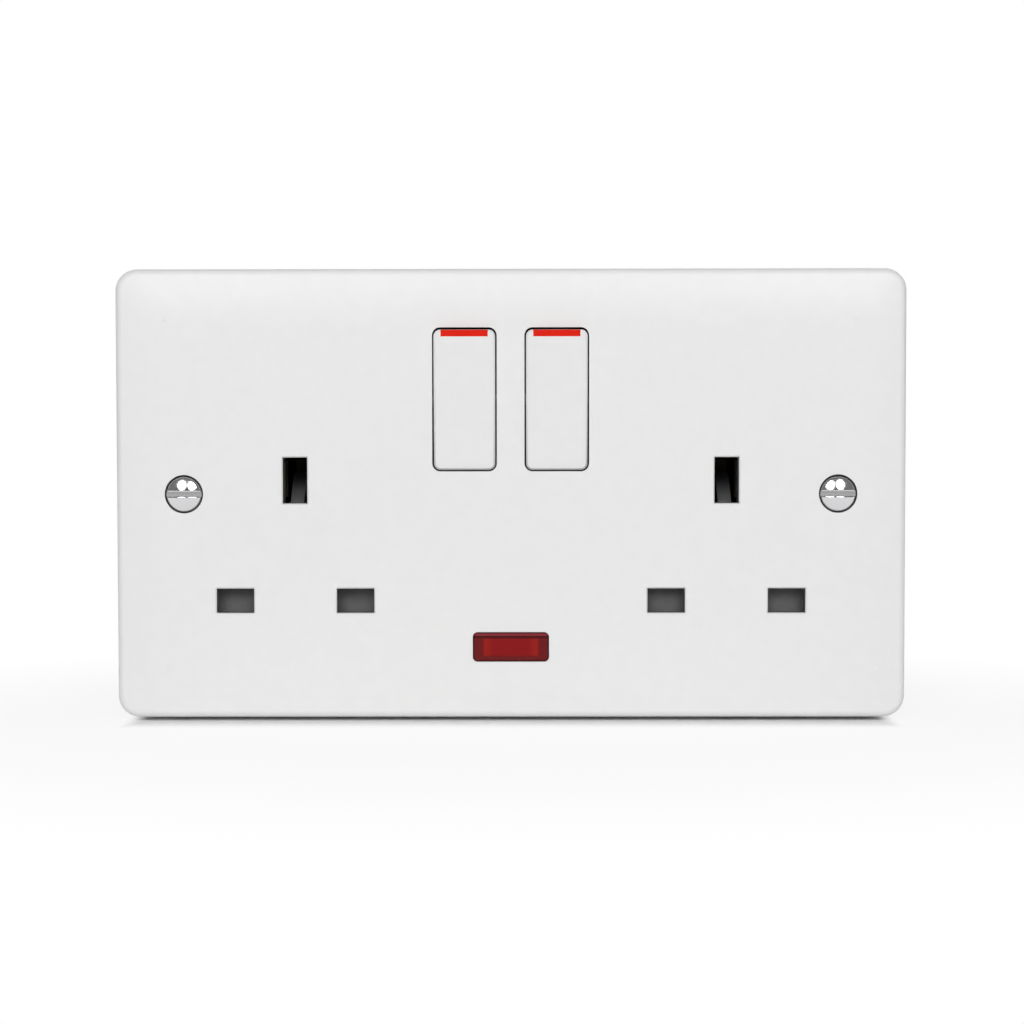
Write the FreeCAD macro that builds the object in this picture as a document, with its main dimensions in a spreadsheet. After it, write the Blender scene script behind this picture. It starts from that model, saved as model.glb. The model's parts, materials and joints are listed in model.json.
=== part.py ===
import FreeCAD, Part
import math
import os

import Sketcher
from FreeCAD import Placement, Rotation, Vector

# A two-gang switched socket. Millimetres, +Z up. The wall plane is y = 0 and the face
# looks along -Y. A "height" is a distance in front of the wall plane, so y = -height.

SIZES = [
    # faceplate
    ("plate_width", 146, "faceplate, left to right"),
    ("plate_height", 83, "faceplate, bottom to top"),
    ("plate_depth", 9, "face in front of the wall"),
    ("plate_corner", 4, "corner radius of the outline"),
    ("crown_drop", 0.8, "fall of the face towards its edge"),
    ("crown_inset", 7, "width of the falling border"),
    ("crown_round", 50, "radius that blends the border into the face"),
    ("edge_round", 1.5, "radius of the front edge"),
    ("face_wall", 2.2, "thickness of the face"),
    ("skirt_wall", 2.2, "thickness of the side walls"),
    # pins and their slots
    ("socket_pitch", 79.6, "between the two sockets"),
    ("pin_spacing", 22.23, "line pin to neutral pin"),
    ("earth_rise", 22.23, "earth pin above the other two"),
    ("pin_row_drop", 19.73, "line and neutral pins below the centre"),
    ("slot_width", 6.9, "line and neutral slot, across"),
    ("slot_height", 4.5, "line and neutral slot, up"),
    ("earth_slot_width", 4.5, "earth slot, across"),
    ("earth_slot_height", 8.5, "earth slot, up"),
    ("slot_rim", 0.25, "chamfer round a slot"),
    ("slot_land", 2.1, "extra thickness of the face behind a slot"),
    ("land_margin", 2, "land past its slot, all round"),
    ("pin_thickness", 3.97, "thickness of every pin"),
    ("pin_length", 17.7, "reach of the line and neutral pins"),
    ("earth_pin_length", 22.73, "reach of the earth pin"),
    # fixing screws
    ("fixing_pitch", 120.6, "between the two fixing screws"),
    ("fixing_hole", 4, "clearance hole"),
    ("fixing_boss", 9.4, "diameter of the boss behind the hole"),
    ("boss_lift", 0.5, "end of the boss in front of the wall"),
    ("recess_diameter", 7.1, "recess round the screw head"),
    ("recess_depth", 1.4, "depth of the recess"),
    ("fixing_screw", 3.5, "diameter of the screw"),
    ("fixing_neck", 2.9, "diameter of its plain neck, as far as the wall plane"),
    ("fixing_head", 6.5, "diameter of the screw head"),
    ("head_dome", 1.1, "height of the raised head"),
    ("head_sink", 0.2, "rim of the head below the face"),
    ("head_slot", 1.0, "width of the screwdriver slot"),
    ("head_slot_depth", 1.3, "depth of the screwdriver slot"),
    ("fixing_length", 31, "length behind the head"),
    # rockers
    ("rocker_pitch", 17, "between the two rockers"),
    ("rocker_rise", 17.4, "rockers above the centre"),
    ("rocker_width", 11.3, "rocker, across"),
    ("rocker_height", 25.9, "rocker, up"),
    ("rocker_gap", 0.3, "gap beside a rocker"),
    ("rocker_corner", 1.2, "corner radius of a rocker"),
    ("rocker_proud", 0.35, "rocker in front of the face when level"),
    ("rocker_edge", 0.35, "bevel of the rocker's front edge"),
    ("rocker_wall", 1.5, "wall of the hollow rocker"),
    ("rocker_skirt", 1.0, "rocker's rim behind its pivot"),
    ("rocker_tilt", 4.5, "tilt each way from level, degrees"),
    ("pivot_depth", 1.8, "pivot behind the face"),
    ("trunnion", 1.8, "diameter of a pivot stub"),
    ("trunnion_reach", 1.7, "length of a pivot stub"),
    ("running_gap", 0.05, "clearance round a turning piece"),
    ("end_gap", 0.15, "rocker end to aperture, at the closest"),
    ("collar_step", 0.4, "collar set back from the aperture"),
    ("collar_wall", 1.4, "wall of the collar"),
    ("flash_width", 8.65, "red flash, across"),
    ("flash_height", 1.2, "red flash, up"),
    ("flash_depth", 0.8, "red flash, thickness"),
    ("stem", 6, "diameter of the rocker's stem"),
    ("stem_reach", 6.6, "stem behind the pivot"),
    ("plunger", 3.4, "diameter of the plunger"),
    ("plunger_reach", 10.5, "plunger tip behind the pivot"),
    ("plunger_dome", 4, "radius of the plunger's tip"),
    ("plunger_seat", 3.2, "plunger's spring end behind the pivot"),
    ("bore_end", 1.2, "end of the stem's bore in front of the pivot"),
    # switch contacts
    ("throw_ratio", 1.6, "turn of the moving contact for that of the rocker"),
    ("knuckle", 1.0, "radius of the moving contact's pivot"),
    ("seesaw_width", 5, "moving contact, across"),
    ("seesaw_thickness", 0.9, "moving contact, thickness"),
    ("seesaw_upper", 11, "upper arm"),
    ("seesaw_lower", 7, "lower arm"),
    ("tip_arm", 9.5, "moving tip above the pivot"),
    ("tip_diameter", 3, "contact tips"),
    ("tip_dome", 4, "radius of the moving tip's face"),
    ("tip_rise", 0.7, "moving tip, thickness"),
    ("fixed_rise", 0.6, "fixed tip, thickness"),
    # shutters
    ("shutter_room", 3.8, "gap that the shutters slide in"),
    ("shutter_gap", 0.2, "shutter behind the lands"),
    ("shutter_blade", 2, "thickness of a blade"),
    ("shutter_overlap", 0.9, "blade past the slot, all round"),
    ("shutter_travel", 5.7, "slide when a plug goes in"),
    ("stem_width", 5, "shutter's stem, across"),
    ("ramp_width", 2.5, "shutter's ramp, across"),
    ("ramp_depth", 5.8, "shutter's ramp, front to back"),
    ("lug_width", 3.4, "lug that the spring pushes, across"),
    ("lug_height", 1.5, "lug, up"),
    ("ramp_flat", 0.5, "blunt ends of the ramp"),
    ("rail", 0.95, "width of a shutter's rails"),
    ("slide_gap", 0.15, "shutter to deck"),
    ("slide_room", 0.3, "housing clear of a shutter's ramp, lug and spring"),
    ("spring_outer", 3.4, "outer diameter of the shutter spring"),
    ("spring_wire", 0.45, "wire of the springs"),
    ("spring_drop", 6.2, "lower end of the shutter spring below the pin row"),
    ("spring_inset", 0.6, "shutter spring behind the deck"),
    ("shutter_turns", 5, "turns of a shutter spring"),
    ("plunger_turns", 3, "turns of a plunger spring"),
    ("coil_gap", 0.1, "plunger spring inside its bore"),
    # current-carrying parts
    ("strap", 0.8, "thickness of the straps"),
    ("strap_width", 3, "width of the switched straps"),
    ("line_bar", 5, "width of the line strap's crossbar"),
    ("leg_width", 4, "width of the legs to the terminals"),
    ("leaf", 0.8, "thickness of a clip's leaves"),
    ("leaf_gap", 0.15, "leaf to pin"),
    ("leaf_flare", 0.8, "flare at a clip's mouth"),
    ("flare_length", 2, "length of the flare"),
    ("clip_setback", 1.2, "line and neutral clips behind the deck"),
    ("earth_setback", 7.5, "earth clips behind the deck"),
    ("clip_width", 6.6, "line and neutral clips, across"),
    ("earth_clip_width", 7, "earth clips, up"),
    ("room", 0.2, "clearance of a chamber round its piece"),
    ("tip_room", 0.7, "clip floor behind a pin's end"),
    ("neutral_bar", 3.3, "width of the neutral strap"),
    ("neutral_drop", 3.6, "neutral strap below the chambers"),
    ("crossing_rise", 5.3, "right switched strap's crossing above the chambers"),
    ("strap_end", 2.2, "switched strap past its tip"),
    ("bar_end", 3, "line strap past the moving contacts"),
    ("cradle", 3, "height of a moving contact's cradle"),
    ("cradle_step", 0.3, "cradle's lip behind the pivot"),
    ("earth_drop", 1.2, "earth strap below the switch wells"),
    ("run_gap", 1, "switched straps clear of the earth legs"),
    ("earth_bar", 6, "width of the earth strap"),
    # terminals
    ("terminal_pitch", 12, "between terminals"),
    ("terminal_width", 8.4, "terminal, across"),
    ("terminal_height", 9, "terminal, up"),
    ("terminal_depth", 10, "terminal, front to back"),
    ("terminal_top", 22, "top of the terminals below the centre"),
    ("wire_bore", 5.2, "diameter of the wire entry"),
    ("wire_depth", 7.5, "depth of the wire entry"),
    ("clamp_screw", 3.5, "diameter of a clamp screw"),
    ("clamp_head", 5.6, "diameter of its head"),
    ("clamp_head_rise", 1.8, "height of its head"),
    ("clamp_slot", 0.9, "width and depth of its slot"),
    ("clamp_offset", 0.4, "clamp screws above the middle of the wire entry"),
    ("clamp_back_off", 0.8, "head clear of the terminal as supplied"),
    # rear housing
    ("housing_back", 18, "back of the housing behind the wall plane"),
    ("housing_wide", 115, "width of its lower part"),
    ("housing_narrow", 100, "width of its upper part"),
    ("housing_step", 7.5, "top of the lower part below the centre"),
    ("housing_top", 33.5, "top above the centre"),
    ("housing_bottom", 32, "bottom below the centre"),
    ("housing_corner", 2.5, "corner radius"),
    ("housing_bevel", 1.2, "bevel of the back edge"),
    ("barrier", 1.6, "wall between terminals"),
    ("shelf_depth", 6, "front of the terminal shelf behind the wall plane"),
    # housing screws
    ("upper_screw_x", 44, "upper housing screws from the centre"),
    ("upper_screw_z", 22, "upper housing screws above the centre"),
    ("lower_screw_x", 12, "lower housing screws from the centre"),
    ("lower_screw_z", 12, "lower housing screws below the centre"),
    ("assembly_screw", 2.9, "diameter of a housing screw"),
    ("assembly_head", 5.4, "diameter of its head"),
    ("assembly_head_rise", 1.9, "height of its head"),
    ("assembly_seat", 6, "seat of its head behind the wall plane"),
    ("assembly_slot", 0.8, "width of its slot"),
    ("assembly_slot_depth", 0.8, "depth of its slot"),
    ("assembly_short", 1, "end of the screw behind the face wall"),
    ("pilot_short", 0.6, "end of its hole behind the face wall"),
    ("assembly_boss", 6.4, "diameter of the boss that it enters"),
    # neon indicator
    ("lens_width", 14.1, "lens aperture, across"),
    ("lens_height", 5.5, "lens aperture, up"),
    ("lens_drop", 28.3, "lens below the centre"),
    ("lens_corner", 0.9, "corner radius of the lens aperture"),
    ("lens_gap", 0.06, "lens to aperture"),
    ("lens_proud", 0.35, "lens in front of the face"),
    ("lens_bevel", 0.55, "bevel of the lens"),
    ("lens_flange", 1.1, "flange round the lens, behind the face"),
    ("flange_depth", 1, "thickness of the flange"),
    ("lens_wall", 1.1, "front, top and bottom wall of the hollow lens"),
    ("lens_end", 2.1, "wall at its two ends"),
    ("lamp_diameter", 4.2, "glass of the lamp"),
    ("lamp_length", 10, "length of the glass"),
    ("lamp_height", 2.0, "lamp in front of the wall plane"),
    ("glass", 0.45, "wall of the glass"),
    ("lamp_bevel", 1.3, "bevel of its closed end"),
    ("pinch_length", 1.2, "length of the flat pinch"),
    ("pinch_depth", 1.4, "thickness of the pinch"),
    ("lamp_rest", 0.1, "glass to the neutral strap"),
    ("lamp_shift", 0.2, "leads' end of the lamp past its own half length"),
    ("lamp_room", 2.5, "room above and below the lamp's axis"),
    ("electrode", 0.8, "diameter of an electrode"),
    ("electrode_spread", 1.6, "between the electrodes"),
    ("lead", 0.6, "thickness of the leads"),
    ("lead_bend", 1.2, "bend radius of the leads"),
    ("lead_out", 1.6, "reach of the neutral lead past the lamp"),
    ("lead_up", 1.8, "rise of the line lead above the resistor"),
    ("resistor", 2.3, "diameter of the resistor"),
    ("resistor_length", 6.3, "length of the resistor"),
    ("resistor_end", 0.4, "bevel of its ends"),
    ("resistor_x", 7, "resistor from the centre"),
    ("resistor_rise", 4.4, "resistor above the lamp"),
    ("resistor_room", 1.5, "room beside the resistor's axis"),
    # all pieces
    ("overlap", 0.1, "how far joined forms run into each other"),
    ("beyond", 1, "how far a cut runs past what it cuts"),
]

PLACES = [
    ("inner_face", "size.plate_depth - size.face_wall", "back of the face wall"),
    ("deck", "inner_face - size.slot_land - size.shutter_room", "front of the rear housing"),
    ("back", "-size.housing_back", "back of the rear housing"),
    ("pivot", "size.plate_depth - size.pivot_depth", "rocker pivots"),
    ("aperture_width", "size.rocker_width + 2 * size.rocker_gap", "rocker aperture"),
    ("aperture_height", "size.rocker_height + 2 * size.rocker_gap", "rocker aperture"),
    ("collar_x", "aperture_width / 2 + size.collar_step", "inside of a collar, across"),
    ("collar_z", "aperture_height / 2 + size.collar_step", "inside of a collar, up"),
    ("rocker_front", "size.pivot_depth + size.rocker_proud", "rocker face from its pivot"),
    ("end_reach", "aperture_height / 2 - size.end_gap", "sweep of the rocker's front corners"),
    ("rocker_tip", "sqrt(end_reach ^ 2 - rocker_front ^ 2)", "half height of a rocker"),
    ("stroke", "size.throw_ratio * size.rocker_tilt", "tilt of the moving contact"),
    ("seesaw_drop", "size.plunger_reach + size.running_gap + size.knuckle", "pivot to pivot"),
    ("knuckle", "pivot - seesaw_drop", "pivot of the moving contact"),
    ("tip_face", "size.seesaw_thickness - size.knuckle + size.tip_rise", "moving tip, back"),
    ("tip_centre", "tip_face - size.tip_dome", "centre of the moving tip's dome"),
    ("tip_back", "tip_centre * cos(stroke * 1 deg) + size.tip_arm * sin(stroke * 1 deg)"
                 " + size.tip_dome", "moving tip behind its pivot when closed"),
    ("tip_up", "size.tip_arm * cos(stroke * 1 deg) - tip_centre * sin(stroke * 1 deg)",
     "touching point above the pivot"),
    ("strap_front", "knuckle - tip_back - size.running_gap - size.fixed_rise",
     "front of the line and switched straps"),
    ("strap_back", "strap_front - size.strap", "back of those straps"),
    ("pin_row", "-size.pin_row_drop", "line and neutral pins"),
    ("earth_pin", "pin_row + size.earth_rise", "earth pins"),
    ("half_gap", "size.pin_thickness / 2 + size.leaf_gap", "pin centre to leaf"),
    ("clip_half", "half_gap + size.leaf", "pin centre to a clip's outside"),
    ("clip_floor", "size.plate_depth - size.pin_length - size.tip_room", "inside of a clip"),
    ("clip_back", "clip_floor - size.leaf", "back of a clip"),
    ("clip_mouth", "deck - size.clip_setback", "front of a clip"),
    ("earth_floor", "size.plate_depth - size.earth_pin_length - size.tip_room / 2",
     "inside of an earth clip"),
    ("earth_back", "earth_floor - size.leaf", "back of an earth clip"),
    ("earth_mouth", "deck - size.earth_setback", "front of an earth clip"),
    ("earth_strap_back", "earth_back - size.strap", "back of the earth strap"),
    ("chamber_half", "clip_half + size.leaf_flare + size.room", "pin centre to chamber wall"),
    ("blade_front", "inner_face - size.slot_land - size.shutter_gap", "front of the shutters"),
    ("blade_back", "blade_front - size.shutter_blade", "back of the blades"),
    ("blade_half", "size.slot_height / 2 + size.shutter_overlap", "half height of a blade"),
    ("bar_half", "(size.pin_spacing + size.slot_width) / 2 + size.shutter_overlap",
     "half width of a shutter"),
    ("ramp_foot", "size.earth_rise - size.earth_slot_height / 2 - size.slide_room",
     "foot of the ramp"),
    ("ramp_head", "size.earth_rise - size.pin_thickness + size.shutter_travel - size.ramp_flat",
     "head of the ramp"),
    ("ramp_back", "blade_front - size.ramp_flat - size.ramp_depth", "back of the ramp"),
    ("lug_foot", "(size.earth_rise - size.lug_height) / 2", "lug above the pin row"),
    ("spring_length", "lug_foot + size.spring_drop", "length of the shutter spring"),
    ("spring_height", "deck - size.spring_inset - size.spring_outer / 2",
     "axis of the shutter spring"),
    ("lug_back", "spring_height - size.spring_outer / 2 + size.spring_wire", "back of the lug"),
    ("neutral_top", "pin_row - chamber_half - size.neutral_drop", "top of the neutral strap"),
    ("neutral_bottom", "neutral_top - size.neutral_bar", "bottom of the neutral strap"),
    ("neutral_front", "size.lamp_height - size.lamp_diameter / 2 - size.lamp_rest",
     "front of the neutral strap"),
    ("neutral_back", "neutral_front - size.strap", "back of the neutral strap"),
    ("earth_top", "rocker_foot - size.earth_drop", "top of the earth strap"),
    ("earth_bottom", "earth_top - size.earth_bar", "bottom of the earth strap"),
    ("rocker_foot", "size.rocker_rise - collar_z", "bottom of the switch wells"),
    ("run_x", "size.terminal_pitch * 1.5 + (size.leg_width + size.strap_width) / 2 + size.run_gap",
     "vertical runs of the switched straps"),
    ("terminal_top", "-size.terminal_top", "top of the terminals"),
    ("terminal_bottom", "terminal_top - size.terminal_height", "bottom of the terminals"),
    ("shelf", "-size.shelf_depth", "front wall of the terminal shelf"),
    ("bore_height", "shelf - size.terminal_depth / 2", "axis of the wire entries"),
    ("clamp_z", "terminal_bottom + size.wire_depth / 2 + size.clamp_offset", "axis of the clamp screws"),
    ("lens_z", "-size.lens_drop", "lens and lamp"),
    ("tip_z", "size.rocker_rise + tip_up", "fixed tips"),
    ("clip_top", "pin_row + clip_half", "top of the line clips"),
    ("cross_z", "pin_row + chamber_half + size.crossing_rise",
     "crossing run of the right switched strap"),
    ("left_neutral", "-size.socket_pitch / 2 - size.pin_spacing / 2", "left neutral pin"),
    ("right_neutral", "size.socket_pitch / 2 - size.pin_spacing / 2", "right neutral pin"),
    ("left_line", "-size.socket_pitch / 2 + size.pin_spacing / 2", "left line pin"),
    ("right_line", "size.socket_pitch / 2 + size.pin_spacing / 2", "right line pin"),
    ("lamp_end", "size.lamp_length / 2 + size.lamp_shift", "lead end of the lamp"),
    ("lamp_x", "lamp_end - size.lamp_length / 2 - size.pinch_length", "middle of the lamp"),
    ("resistor_foot", "lens_z + size.resistor_rise", "lower end of the resistor"),
    ("resistor_head", "resistor_foot + size.resistor_length", "upper end of the resistor"),
    ("head_round", "((size.fixing_head / 2) ^ 2 + size.head_dome ^ 2) / (2 * size.head_dome)",
     "radius of a fixing screw's head"),
    ("head_top", "size.recess_depth - size.head_sink + size.head_dome", "head above its seat"),
    ("seat", "size.plate_depth - size.recess_depth", "seat of the fixing screws' heads"),
]

DOC = FreeCAD.newDocument("twin_socket")
SIDES = (("left", "-1"), ("right", "1"))


def fill_sheet(name, rows, lead):
    """A sheet with a meaning, a value and an alias in each row."""
    sheet = DOC.addObject("Spreadsheet::Sheet", name)
    for row, (alias, value, meaning) in enumerate(rows, 1):
        sheet.set(f"A{row}", meaning)
        sheet.set(f"B{row}", f"{lead}{value}")
        sheet.setAlias(f"B{row}", alias)
    return sheet


SIZE_SHEET = fill_sheet("size", SIZES, "")
PLACE_SHEET = fill_sheet("place", PLACES, "=")
DOC.recompute()


def number(expression):
    """The present value of an expression."""
    return float(PLACE_SHEET.evalExpression(expression))


def settle(feature):
    """Recomputes and stops if the newest feature has failed."""
    DOC.recompute()
    if "Invalid" in feature.State or "Error" in feature.State:
        raise RuntimeError(f"{feature.Label} did not compute: {feature.State}")
    return feature


def new_body(label, x="0", y="0", z="0", axis=Vector(1, 0, 0), turn=None):
    """An empty body with its place, and its turn about an axis, bound to the sheets."""
    body = DOC.addObject("PartDesign::Body", label)
    body.Label = label
    if turn is not None:
        body.Placement = Placement(Vector(), Rotation(axis, number(turn)))
        body.setExpression("Placement.Rotation.Angle", turn)
    for name, expression in (("x", x), ("y", y), ("z", z)):
        if expression != "0":
            body.setExpression(f"Placement.Base.{name}", expression)
    return body


def new_sketch(body, name, role, offset):
    """A sketch parallel to one of the body's origin planes."""
    sketch = body.newObject("Sketcher::SketchObject", name)
    plane = next(f for f in body.Origin.OriginFeatures if f.Role == role)
    sketch.AttachmentSupport = [(plane, "")]
    sketch.MapMode = "FlatFace"
    if offset != "0":
        sketch.setExpression("AttachmentOffset.Base.z", offset)
    return sketch


def hold(sketch, kind, *where, at):
    """Adds a dimension to a sketch and binds it to an expression."""
    index = sketch.addConstraint(Sketcher.Constraint(kind, *where, number(at)))
    sketch.setExpression(f"Constraints[{index}]", at)


def hold_point(sketch, edge, end, x, y):
    """Holds one end of an edge at a place given by two expressions."""
    for kind, axis, at in (("DistanceX", -2, x), ("DistanceY", -1, y)):
        if at == "0":
            sketch.addConstraint(Sketcher.Constraint("PointOnObject", edge, end, axis))
        else:
            hold(sketch, kind, -1, 1, edge, end, at=at)


def polygon(sketch, *points):
    """A closed outline of straight lines through the given places."""
    first = sketch.GeometryCount
    count = len(points)
    spots = [Vector(number(x), number(y), 0) for x, y in points]
    for i in range(count):
        sketch.addGeometry(Part.LineSegment(spots[i], spots[(i + 1) % count]))
    for i in range(count):
        after = first + (i + 1) % count
        sketch.addConstraint(Sketcher.Constraint("Coincident", first + i, 2, after, 1))
    for i, (x, y) in enumerate(points):
        hold_point(sketch, first + i, 1, x, y)


def box(sketch, left, right, bottom, top):
    """A rectangle between four sides."""
    first = sketch.GeometryCount
    x0, x1, y0, y1 = number(left), number(right), number(bottom), number(top)
    spots = [Vector(x0, y0, 0), Vector(x1, y0, 0), Vector(x1, y1, 0), Vector(x0, y1, 0)]
    for i in range(4):
        sketch.addGeometry(Part.LineSegment(spots[i], spots[(i + 1) % 4]))
    for i in range(4):
        after = first + (i + 1) % 4
        sketch.addConstraint(Sketcher.Constraint("Coincident", first + i, 2, after, 1))
        kind = "Vertical" if i % 2 else "Horizontal"
        sketch.addConstraint(Sketcher.Constraint(kind, first + i))
    hold_point(sketch, first, 1, left, bottom)
    hold_point(sketch, first + 2, 1, right, top)


def centred(sketch, x, y, width, height):
    """A rectangle round a centre."""
    box(sketch, f"{x} - ({width}) / 2", f"{x} + ({width}) / 2",
        f"{y} - ({height}) / 2", f"{y} + ({height}) / 2")


def circle(sketch, x, y, diameter):
    """A circle round a centre."""
    index = sketch.GeometryCount
    centre = Vector(number(x), number(y), 0)
    sketch.addGeometry(Part.Circle(centre, Vector(0, 0, 1), number(diameter) / 2))
    hold_point(sketch, index, 3, x, y)
    hold(sketch, "Diameter", index, at=diameter)


def rounded(sketch, x, y, width, height, radius):
    """A rectangle round a centre, with its four corners rounded."""
    first = sketch.GeometryCount
    left, right = f"{x} - ({width}) / 2", f"{x} + ({width}) / 2"
    bottom, top = f"{y} - ({height}) / 2", f"{y} + ({height}) / 2"
    x0, x1, y0, y1 = number(left), number(right), number(bottom), number(top)
    r = number(radius)
    lines = (
        (x0 + r, y0, x1 - r, y0),
        (x1, y0 + r, x1, y1 - r),
        (x1 - r, y1, x0 + r, y1),
        (x0, y1 - r, x0, y0 + r),
    )
    for ax, ay, bx, by in lines:
        sketch.addGeometry(Part.LineSegment(Vector(ax, ay, 0), Vector(bx, by, 0)))
    centres = ((x1 - r, y0 + r), (x1 - r, y1 - r), (x0 + r, y1 - r), (x0 + r, y0 + r))
    for quarter, (cx, cy) in enumerate(centres):
        ring = Part.Circle(Vector(cx, cy, 0), Vector(0, 0, 1), r)
        start = math.pi / 2 * (quarter - 1)
        sketch.addGeometry(Part.ArcOfCircle(ring, start, start + math.pi / 2))
    for i in range(4):
        line, arc, after = first + i, first + 4 + i, first + (i + 1) % 4
        sketch.addConstraint(Sketcher.Constraint("Tangent", line, 2, arc, 1))
        sketch.addConstraint(Sketcher.Constraint("Tangent", arc, 2, after, 1))
        sketch.addConstraint(Sketcher.Constraint("Vertical" if i % 2 else "Horizontal", line))
    for i in range(3):
        sketch.addConstraint(Sketcher.Constraint("Equal", first + 4 + i, first + 5 + i))
    hold(sketch, "Radius", first + 4, at=radius)
    hold(sketch, "DistanceX", -1, 1, first + 3, 1, at=left)
    hold(sketch, "DistanceX", -1, 1, first + 1, 1, at=right)
    hold(sketch, "DistanceY", -1, 1, first, 1, at=bottom)
    hold(sketch, "DistanceY", -1, 1, first + 2, 1, at=top)


def draw_all(sketch, outlines):
    """Draws each outline, given as a drawing function and its expressions."""
    for draw, *where in outlines:
        draw(sketch, *where)


def raise_up(body, name, low, high, *outlines):
    """Pads outlines, drawn as seen from the front, between two heights."""
    sketch = new_sketch(body, f"{name}_outline", "XZ_Plane", low)
    draw_all(sketch, outlines)
    pad = body.newObject("PartDesign::Pad", name)
    pad.Profile = sketch
    pad.setExpression("Length", f"({high}) - ({low})")
    return settle(pad)


def sink(body, name, high, low, *outlines):
    """Cuts outlines, drawn as seen from the front, from one height back to another."""
    before = body.Tip.Shape.Volume
    sketch = new_sketch(body, f"{name}_outline", "XZ_Plane", high)
    draw_all(sketch, outlines)
    pocket = body.newObject("PartDesign::Pocket", name)
    pocket.Profile = sketch
    pocket.setExpression("Length", f"({high}) - ({low})")
    settle(pocket)
    if not pocket.Shape.Volume < before - 1e-6:
        raise RuntimeError(f"{body.Label}: {name} removes nothing")
    return pocket


def across(body, name, width, *outlines, cut=False, at="0", role="YZ_Plane"):
    """Pads or cuts outlines, drawn as seen from the side, equally both ways from their plane."""
    sketch = new_sketch(body, f"{name}_outline", role, at)
    draw_all(sketch, outlines)
    kind = "PartDesign::Pocket" if cut else "PartDesign::Pad"
    feature = body.newObject(kind, name)
    feature.Profile = sketch
    feature.Midplane = True
    feature.setExpression("Length", width)
    return settle(feature)


def spin(body, name, sketch, axis):
    """Turns a half profile about one of its sketch's axes."""
    turn = body.newObject("PartDesign::Revolution", name)
    turn.Profile = sketch
    turn.ReferenceAxis = (sketch, [axis])
    turn.Angle = 360
    return settle(turn)


def round_off(body, name, radius, chosen, kind="PartDesign::Fillet"):
    """Rounds or bevels the edges of the newest feature that a test picks."""
    base = body.Tip
    edges = [f"Edge{i}" for i, edge in enumerate(base.Shape.Edges, 1) if chosen(edge)]
    if not edges:
        raise RuntimeError(f"{body.Label}: {name} finds no edge")
    feature = body.newObject(kind, name)
    feature.Base = (base, edges)
    feature.setExpression("Radius" if kind.endswith("Fillet") else "Size", radius)
    return settle(feature)


def in_plane(y):
    """A test for edges that lie in the plane at one y."""
    return lambda edge: abs(edge.BoundBox.YMin - y) < 1e-4 and abs(edge.BoundBox.YMax - y) < 1e-4


def group(label, members):
    """One piece made of several separate solids."""
    compound = DOC.addObject("Part::Compound", label)
    compound.Label = label
    compound.Links = members
    return settle(compound)


def pin_places():
    """The six pins: side, name, place across and place up."""
    for side, sign in SIDES:
        socket = f"({sign}) * size.socket_pitch / 2"
        yield side, "neutral", f"{socket} - size.pin_spacing / 2", "place.pin_row"
        yield side, "line", f"{socket} + size.pin_spacing / 2", "place.pin_row"
        yield side, "earth", socket, "place.earth_pin"


def screw_places():
    """The four housing screws: place across and place up."""
    for _, sign in SIDES:
        yield f"({sign}) * size.upper_screw_x", "size.upper_screw_z"
        yield f"({sign}) * size.lower_screw_x", "-size.lower_screw_z"


def crown_wedge(half, sign, sideways):
    """The outline of the wedge that the face loses along one of its edges."""
    near = f"({sign}) * ({half} - size.crown_inset)"
    past = f"({sign}) * ({half} + size.beyond)"
    ahead = "-size.plate_depth - size.beyond"
    fall = "size.crown_drop * (1 + size.beyond / size.crown_inset) - size.plate_depth"
    points = [("-size.plate_depth", near), (fall, past), (ahead, past), (ahead, near)]
    return (polygon, *[point[::-1] if sideways else point for point in points])


def in_front(edge):
    """A test for edges near the face."""
    return edge.BoundBox.YMax < -number("size.plate_depth") / 2


def front_of_outline(edge):
    """A test for the edges where the plate's sides meet its crowned face."""
    corner = number("size.plate_corner")
    middle = edge.valueAt((edge.FirstParameter + edge.LastParameter) / 2)
    x = max(abs(middle.x) - number("size.plate_width") / 2 + corner, 0)
    z = max(abs(middle.z) - number("size.plate_height") / 2 + corner, 0)
    return in_front(edge) and abs(math.hypot(x, z) - corner) < 1e-3


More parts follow.
